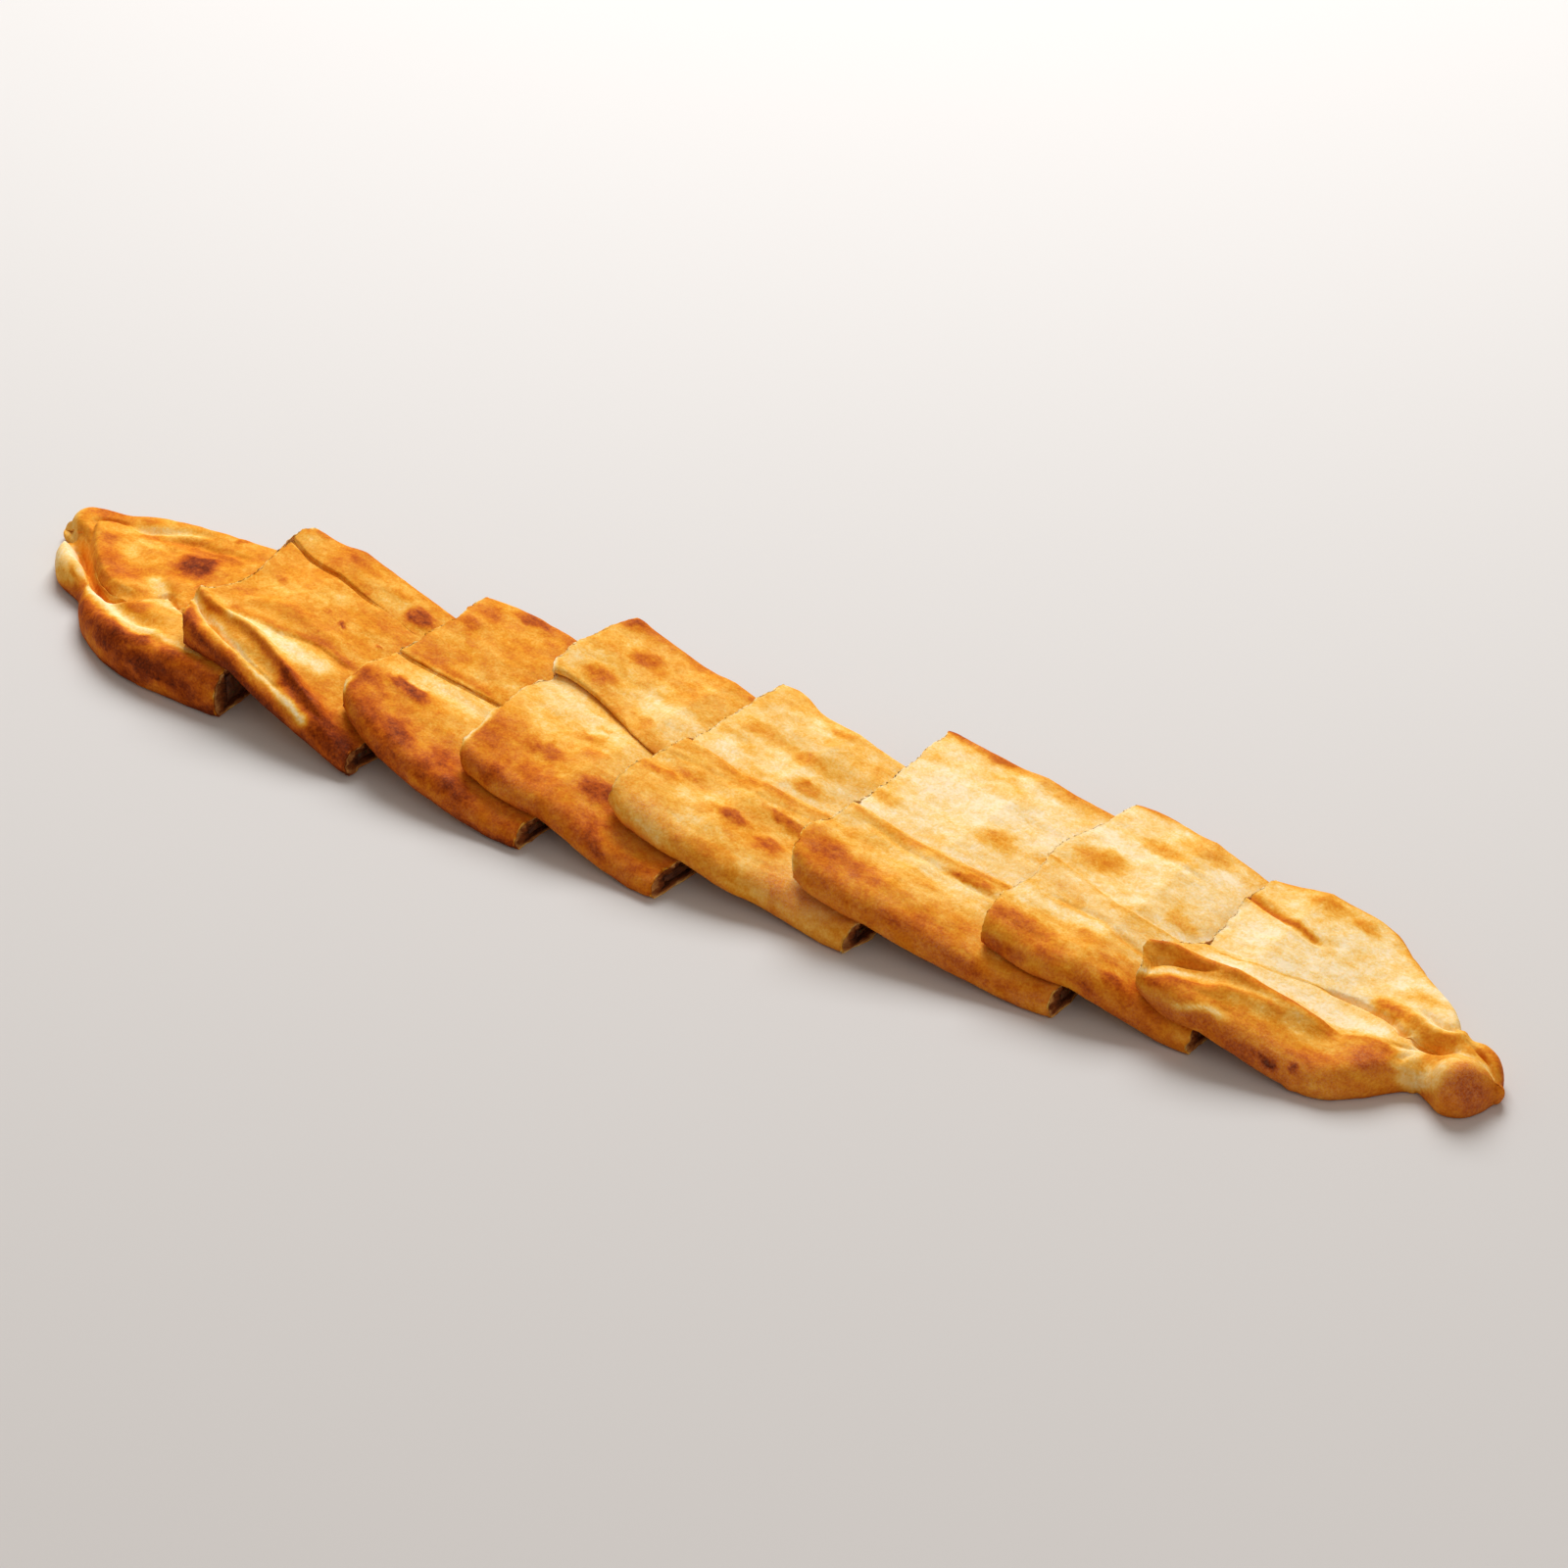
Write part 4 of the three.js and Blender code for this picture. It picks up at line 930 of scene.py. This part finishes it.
def skinRelief(s, u, v, w, kind, depth, part):  # how far the skin stands out from its smooth form
    seed, blister = s["order"] * 5 + 120, dough["blister"]
    openLeft, openRight = openEnds(s)
    relief = dough["skin"] * (0.6 * lumps(u, v + w, 22, 4, seed) + lumps(u, v + w, 5, 4, seed + 1))
    for spot in s["spots"]:
        if spot[4] > blister["leastBake"] and max(spot[2:4]) < blister["widest"]:
            relief = relief + spotShare(u, v, spot) * blister["height"]
    for away, deep, isCut in zip((u, s["length"] - u), dough["crushed"], (openLeft, openRight)):
        near = np.exp(-((np.maximum(away, 0) / dough["crushReach"]) ** 2))
        relief = relief - isCut * deep * near * (part != parts["bottom"])
    relief = np.where(part == parts["bottom"], relief * 0.3, relief)
    relief = np.where((kind > 0)[:, None], relief * ((1 - depth) ** 2)[:, None], relief)
    relief = np.where((kind == kinds["cavity"])[:, None], 0, relief)
    return relief * (1 - covered(s, u, v) * (part != parts["bottom"]))


rimWeld = 2e-6  # metres, within which points of a grid's rim are one


def fillGrid(name, points, finish, materials, innerRow):  # a grid laid over the points and closed
    rows, columns = points.shape[:2]
    grid = bmesh.new()
    bmesh.ops.create_grid(grid, x_segments=columns, y_segments=rows - 1, size=1)
    finishLayer = grid.verts.layers.float_color.new("finish")
    closed = np.concatenate([points, points[:, :1]], 1).reshape(-1, 3) * mm
    closedFinish = np.concatenate([finish, finish[:, :1]], 1).reshape(-1, 4)
    for vert, co, values in zip(grid.verts, closed.tolist(), closedFinish.tolist()):
        vert.co = co
        vert[finishLayer] = values
    for number, face in enumerate(grid.faces):
        face.smooth = True
        row = number // columns
        face.material_index = 1 if innerRow[row] or innerRow[row + 1] else 0
    width = columns + 1
    rim = [vert for number, vert in enumerate(grid.verts)
           if number % width in (0, columns) or not width <= number < (rows - 1) * width]
    bmesh.ops.remove_doubles(grid, verts=rim, dist=rimWeld)
    mesh = bpy.data.meshes.new(name)
    grid.to_mesh(mesh)
    grid.free()
    for material in materials:
        mesh.materials.append(material)
    piece = bpy.data.objects.new(name, mesh)
    bpy.context.scene.collection.objects.link(piece)
    return piece


def placed(s, u, v, w, spread=0.0):
    reach = u + along(s["cut"], v) * (1 - u / s["length"]) + spread
    x, y = toPlan(s, reach, v)
    middle = dough["footprintMiddle"]
    return np.stack([x - middle[0], y - middle[1], w + underside(s, reach, v)], 2)


def makeDough(s, materials):
    u, v, w, kind, depth, part = doughRows(s)
    seed = s["order"] * 2 + 200
    fine, broad = dough["ragged"]
    stray = fine * lumps(v, w, 2.4, 2.4, seed) + broad * lumps(v, w, 11, 11, seed + 1)
    fromLeft, fromRight = np.maximum(u, 0), np.maximum(s["length"] - u, 0)
    nearCut = np.zeros(u.shape)
    for away, isCut in zip((fromLeft, fromRight), openEnds(s)):
        nearCut = nearCut + isCut * np.exp(-away / dough["raggedReach"])
    isCut = (kind == kinds["cut"])[:, None]
    inward = np.where(u < s["length"] / 2, 1, -1)
    dip = np.sin(math.pi * np.clip(depth, 0, 1))[:, None] ** 0.6
    crumb = dip * dough["crumbDepth"] * (0.5 + lumps(v, w, 2.2, 1.6, seed + 2, 3))
    spread = stray * np.where(isCut, (1 - depth)[:, None], nearCut * (kind == kinds["skin"])[:, None])
    spread = spread + np.where(isCut, crumb * inward, 0)
    if "notch" in s:
        at, width, deep, reach = s["notch"]
        spread = spread + deep * np.exp(-(((v - at) / width) ** 2) - np.maximum(u, 0) / reach)
    points = placed(s, u, v, w, spread)
    points = points + outward(points) * skinRelief(s, u, v, w, kind, depth, part)[:, :, None]
    points[:, :, 2] = np.maximum(points[:, :, 2], 0)
    finish = finishOf(s, u, v, w, depth, part)
    return fillGrid("slice" + s["name"] + "Dough", points, finish, materials, depth > dough["crustOverCut"])


filling = {
    "gap": 0.5,  # air between it and its dough
    "columns": (34, 7, 40, 1, 7, 7),  # of the mesh, for each part of the outline
    "rowStep": 1.6,
    "recess": (0.9, 1.1),  # how far its ends lie in from a cut, and how uneven that is
    "closedRecess": 2.6,  # and from the closed end of its space
    "endReach": 2,  # how far from its ends they are uneven
    "capRows": 8,
    "lump": 0.5, "inward": 0.6,  # how lumpy it is, and the share of that which goes inward
}


def makeFilling(s, material):
    hollow, seed = s["hollow"], s["order"] * 2 + 300
    recess, closedRecess = filling["recess"][0], filling["closedRecess"]
    ends = [hollow[0] + (closedRecess if hollow[0] > 0 else recess),
            hollow[1] - (closedRecess if hollow[1] < s["length"] else recess)]
    us = np.linspace(*ends, round((ends[1] - ends[0]) / filling["rowStep"]))
    part = np.repeat(list(parts.values()), filling["columns"])
    v, w = fillingSpace(s, us, part, filling["gap"])
    shrink = np.linspace(0, 1, filling["capRows"] + 1)[:-1]
    first = [drawnIn(v[:1], w[:1], x) for x in shrink]
    last = [drawnIn(v[-1:], w[-1:], x) for x in shrink[::-1]]
    v = np.vstack([x[0] for x in first] + [v] + [x[0] for x in last])
    w = np.vstack([x[1] for x in first] + [w] + [x[1] for x in last])
    capRows = np.ones(len(shrink))
    u = np.concatenate([us[0] * capRows, us, us[-1] * capRows])[:, None] + 0 * v
    side = np.where(u < sum(hollow) / 2, -1, 1)
    isEnd = np.exp(-np.minimum(u - us[0], us[-1] - u) / filling["endReach"])
    spread = side * isEnd * filling["recess"][1] * lumps(v, w, 3, 3, seed)
    points = placed(s, u, v, w, spread)
    inset = filling["lump"] * (0.5 + 0.5 * np.clip(lumps(u, v + w, 4, 4, seed + 1, 3), -1, 1))
    points = points - outward(points) * inset[:, :, None] * filling["inward"]
    finish = np.zeros(points.shape[:2] + (4,))
    return fillGrid("slice" + s["name"] + "Filling", points, finish, [material], np.zeros(len(points)))


def linear(hexColour):  # an sRGB hex colour as the linear colour that a shader takes
    values = [int(hexColour[n:n + 2], 16) / 255 for n in (1, 3, 5)]
    return tuple(x / 12.92 if x <= 0.04045 else ((x + 0.055) / 1.055) ** 2.4 for x in values) + (1,)


def perSize(size):  # a texture's scale for lumps of this many millimetres
    return 1 / (size * mm)


def addNode(tree, kind, settings=None, **inputs):  # a node, its settings, and what goes into its sockets
    node = tree.nodes.new(kind)
    for name, value in (settings or {}).items():
        setattr(node, name, value)
    for name, value in inputs.items():
        socket = node.inputs[int(name[2:])] if name.startswith("in") else node.inputs[name.replace("_", " ")]
        if isinstance(value, bpy.types.NodeSocket):
            tree.links.new(value, socket)
        else:
            socket.default_value = value
    return node


def newMaterial(name):
    material = bpy.data.materials.new(name)
    material.use_nodes = True
    tree = material.node_tree
    tree.nodes.clear()
    return material, tree


def fillRamp(node, stops):
    ramp = node.color_ramp
    while len(ramp.elements) > 1:
        ramp.elements.remove(ramp.elements[-1])
    for number, (place, colour) in enumerate(stops):
        element = ramp.elements[0] if number == 0 else ramp.elements.new(place)
        element.position = place
        element.color = linear(colour)


# Crust of a lean wheat dough baked on stone: matt and dusty where pale, faintly glossy where browned
crustLook = {
    "stops": [
        (0.0, "#ffecc4"), (0.13, "#fbd890"), (0.28, "#f5bc53"), (0.43, "#e89a28"), (0.58, "#d67816"),
        (0.73, "#b9560e"), (0.87, "#8a3607"), (1.0, "#581d04"),
    ],
    "sheer": "#e6dfd0",  # where the filling's moisture shows through
    "flour": "#f3e3c8",
    "mottle": 3.0, "grit": 1.0, "dust": 0.6,  # sizes in mm, the grit's as coarse as it needs to show
    "mottleShare": 0.3, "gritShare": 0.32,
    "paleRoughness": 0.8, "brownRoughness": 0.62,
}


def bakedCrust():
    material, tree = newMaterial("bakedCrust")
    look = crustLook
    finish = addNode(tree, "ShaderNodeAttribute", {"attribute_name": "finish"})
    split = addNode(tree, "ShaderNodeSeparateColor", Color=finish.outputs["Color"])
    place = addNode(tree, "ShaderNodeTexCoord").outputs["Object"]
    mottle = addNode(tree, "ShaderNodeTexNoise", Vector=place, Scale=perSize(look["mottle"]), Detail=4.0)
    grit = addNode(tree, "ShaderNodeTexNoise", Vector=place, Scale=perSize(look["grit"]), Detail=2.0)
    mottled = addNode(tree, "ShaderNodeMath", {"operation": "MULTIPLY_ADD"},
                      in0=mottle.outputs["Fac"], in1=look["mottleShare"], in2=-look["mottleShare"] / 2)
    gritty = addNode(tree, "ShaderNodeMath", {"operation": "MULTIPLY_ADD"},
                     in0=grit.outputs["Fac"], in1=look["gritShare"], in2=mottled.outputs[0])
    bakeAndShade = addNode(tree, "ShaderNodeMath", {"operation": "ADD"},
                   in0=split.outputs["Red"], in1=gritty.outputs[0])
    tone = addNode(tree, "ShaderNodeMath", {"operation": "SUBTRACT"},
                   in0=bakeAndShade.outputs[0], in1=look["gritShare"] / 2)
    ramp = addNode(tree, "ShaderNodeValToRGB", Fac=tone.outputs[0])
    fillRamp(ramp, look["stops"])
    sheer = addNode(tree, "ShaderNodeMix", {"data_type": "RGBA", "blend_type": "MULTIPLY"},
                    in0=split.outputs["Green"], in6=ramp.outputs["Color"], in7=linear(look["sheer"]))
    powder = addNode(tree, "ShaderNodeTexNoise", Vector=place, Scale=perSize(look["dust"]), Detail=1.0)
    dustSpread = addNode(tree, "ShaderNodeMapRange", Value=powder.outputs["Fac"], From_Min=0.3, From_Max=0.75)
    dust = addNode(tree, "ShaderNodeMath", {"operation": "MULTIPLY"},
                   in0=split.outputs["Blue"], in1=dustSpread.outputs[0])
    floury = addNode(tree, "ShaderNodeMix", {"data_type": "RGBA"},
                     in0=dust.outputs[0], in6=sheer.outputs[2], in7=linear(look["flour"]))
    roughness = addNode(tree, "ShaderNodeMapRange", Value=tone.outputs[0],
                        To_Min=look["paleRoughness"], To_Max=look["brownRoughness"])
    bump = addNode(tree, "ShaderNodeBump", Strength=0.5, Distance=0.25 * mm, Height=grit.outputs["Fac"])
    broad = addNode(tree, "ShaderNodeBump", Strength=0.6, Distance=0.5 * mm, Height=mottle.outputs["Fac"],
                    Normal=bump.outputs[0])
    surface = addNode(tree, "ShaderNodeBsdfPrincipled", Base_Color=floury.outputs[2],
                      Roughness=roughness.outputs[0], Normal=broad.outputs[0], IOR=1.45,
                      Specular_IOR_Level=0.05, Subsurface_Weight=0.1, Subsurface_Radius=(1.0, 0.5, 0.25),
                      Subsurface_Scale=2 * mm)
    addNode(tree, "ShaderNodeOutputMaterial", Surface=surface.outputs[0])
    return material


# Crumb of the same dough, torn open by a knife: pale, dry, with small pores in flat layers; its dark stops
# are partly painted shade, for cut faces that lie in shade
crumbLook = {
    "stops": [(0.0, "#f2c680"), (0.3, "#d39350"), (0.65, "#86451a"), (1.0, "#381606")],
    "layer": 1.6, "pore": 0.8,
}


def cutCrumb():
    material, tree = newMaterial("cutCrumb")
    look = crumbLook
    finish = addNode(tree, "ShaderNodeAttribute", {"attribute_name": "finish"})
    split = addNode(tree, "ShaderNodeSeparateColor", Color=finish.outputs["Color"])
    place = addNode(tree, "ShaderNodeTexCoord").outputs["Object"]
    flat = addNode(tree, "ShaderNodeMapping", Vector=place, Scale=(1, 0.35, 1.6))
    layers = addNode(tree, "ShaderNodeTexNoise", Vector=flat.outputs[0],
                     Scale=perSize(look["layer"]), Detail=4.0)
    pores = addNode(tree, "ShaderNodeTexNoise", Vector=place, Scale=perSize(look["pore"]), Detail=2.0)
    uneven = addNode(tree, "ShaderNodeMath", {"operation": "MULTIPLY_ADD"},
                     in0=layers.outputs["Fac"], in1=0.5, in2=-0.25)
    tone = addNode(tree, "ShaderNodeMath", {"operation": "ADD"},
                   in0=split.outputs["Red"], in1=uneven.outputs[0])
    ramp = addNode(tree, "ShaderNodeValToRGB", Fac=tone.outputs[0])
    fillRamp(ramp, look["stops"])
    bump = addNode(tree, "ShaderNodeBump", Strength=0.8, Distance=0.5 * mm, Height=pores.outputs["Fac"])
    surface = addNode(tree, "ShaderNodeBsdfPrincipled", Base_Color=ramp.outputs["Color"], Roughness=0.85,
                      Normal=bump.outputs[0], Specular_IOR_Level=0.2, Subsurface_Weight=0.15,
                      Subsurface_Radius=(1.0, 0.6, 0.3), Subsurface_Scale=2 * mm)
    addNode(tree, "ShaderNodeOutputMaterial", Surface=surface.outputs[0])
    return material


# Minced meat cooked in the bread with chopped herbs: brown, moist, with dull green flecks
minceLook = {
    "stops": [(0.0, "#321608"), (0.45, "#5e3015"), (0.7, "#844a22"), (1.0, "#a4693a")],
    "herb": "#4c5a2a", "grain": 2.4, "fleck": 2.0,
}


def herbedMince():
    material, tree = newMaterial("herbedMince")
    look = minceLook
    place = addNode(tree, "ShaderNodeTexCoord").outputs["Object"]
    grain = addNode(tree, "ShaderNodeTexNoise", Vector=place, Scale=perSize(look["grain"]), Detail=5.0)
    ramp = addNode(tree, "ShaderNodeValToRGB", Fac=grain.outputs["Fac"])
    fillRamp(ramp, look["stops"])
    cells = addNode(tree, "ShaderNodeTexVoronoi", Vector=place, Scale=perSize(look["fleck"]))
    fleck = addNode(tree, "ShaderNodeMath", {"operation": "LESS_THAN"},
                    in0=cells.outputs["Distance"], in1=0.2)
    mixed = addNode(tree, "ShaderNodeMix", {"data_type": "RGBA"},
                    in0=fleck.outputs[0], in6=ramp.outputs["Color"], in7=linear(look["herb"]))
    bump = addNode(tree, "ShaderNodeBump", Strength=0.9, Distance=0.8 * mm, Height=grain.outputs["Fac"])
    surface = addNode(tree, "ShaderNodeBsdfPrincipled", Base_Color=mixed.outputs[2], Roughness=0.5,
                      Normal=bump.outputs[0], Specular_IOR_Level=0.4)
    addNode(tree, "ShaderNodeOutputMaterial", Surface=surface.outputs[0])
    return material


crust, crumb, mince = bakedCrust(), cutCrumb(), herbedMince()
print("materials made")

for s in slices:
    bread = makeDough(s, [crust, crumb])
    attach(bread, "root")
    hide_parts("slice_" + s["name"])
    inside = makeFilling(s, mince)
    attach(inside, "root")
    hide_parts("filling_" + s["name"])
    print("slice", s["name"], "made:", len(bread.data.polygons), "faces")

# A plain pale floor and soft studio light: a wide key from behind on the left, and a weak fill
studio = {
    "floor": "#d2d2d2", "floorSize": 8, "floorDrop": 0.3 * mm,
    "sky": "#ffebd9", "skyStrength": 0.36,
    "key": {"place": (-0.6, 1.2, 1.55), "size": 1.3, "watts": 46},
    "fill": {"place": (1.2, -0.9, 1.1), "size": 1.2, "watts": 3},
}
floorGrid = bmesh.new()
bmesh.ops.create_grid(floorGrid, x_segments=1, y_segments=1, size=studio["floorSize"] / 2)
bmesh.ops.translate(floorGrid, verts=floorGrid.verts, vec=(0, 0, -studio["floorDrop"]))
floorMesh = bpy.data.meshes.new("floor")
floorGrid.to_mesh(floorMesh)
floorGrid.free()
floorMaterial, floorTree = newMaterial("matFloor")
floorSurface = addNode(floorTree, "ShaderNodeBsdfPrincipled",
                       Base_Color=linear(studio["floor"]), Roughness=0.9, Specular_IOR_Level=0.1)
addNode(floorTree, "ShaderNodeOutputMaterial", Surface=floorSurface.outputs[0])
floorMesh.materials.append(floorMaterial)
floor = bpy.data.objects.new("floor", floorMesh)
bpy.context.scene.collection.objects.link(floor)

world = bpy.data.worlds.new("studioSky")
world.use_nodes = True
world.node_tree.nodes["Background"].inputs["Color"].default_value = linear(studio["sky"])
world.node_tree.nodes["Background"].inputs["Strength"].default_value = studio["skyStrength"]
bpy.context.scene.world = world
for name in ("key", "fill"):
    lamp = bpy.data.lights.new(name, "AREA")
    lamp.size = studio[name]["size"]
    lamp.energy = studio[name]["watts"]
    lampObject = bpy.data.objects.new(name, lamp)
    lampObject.location = studio[name]["place"]
    lampObject.rotation_euler = (-Vector(studio[name]["place"])).to_track_quat("-Z", "Y").to_euler()
    bpy.context.scene.collection.objects.link(lampObject)
bpy.context.scene.view_settings.view_transform = "Standard"
print("studio set")
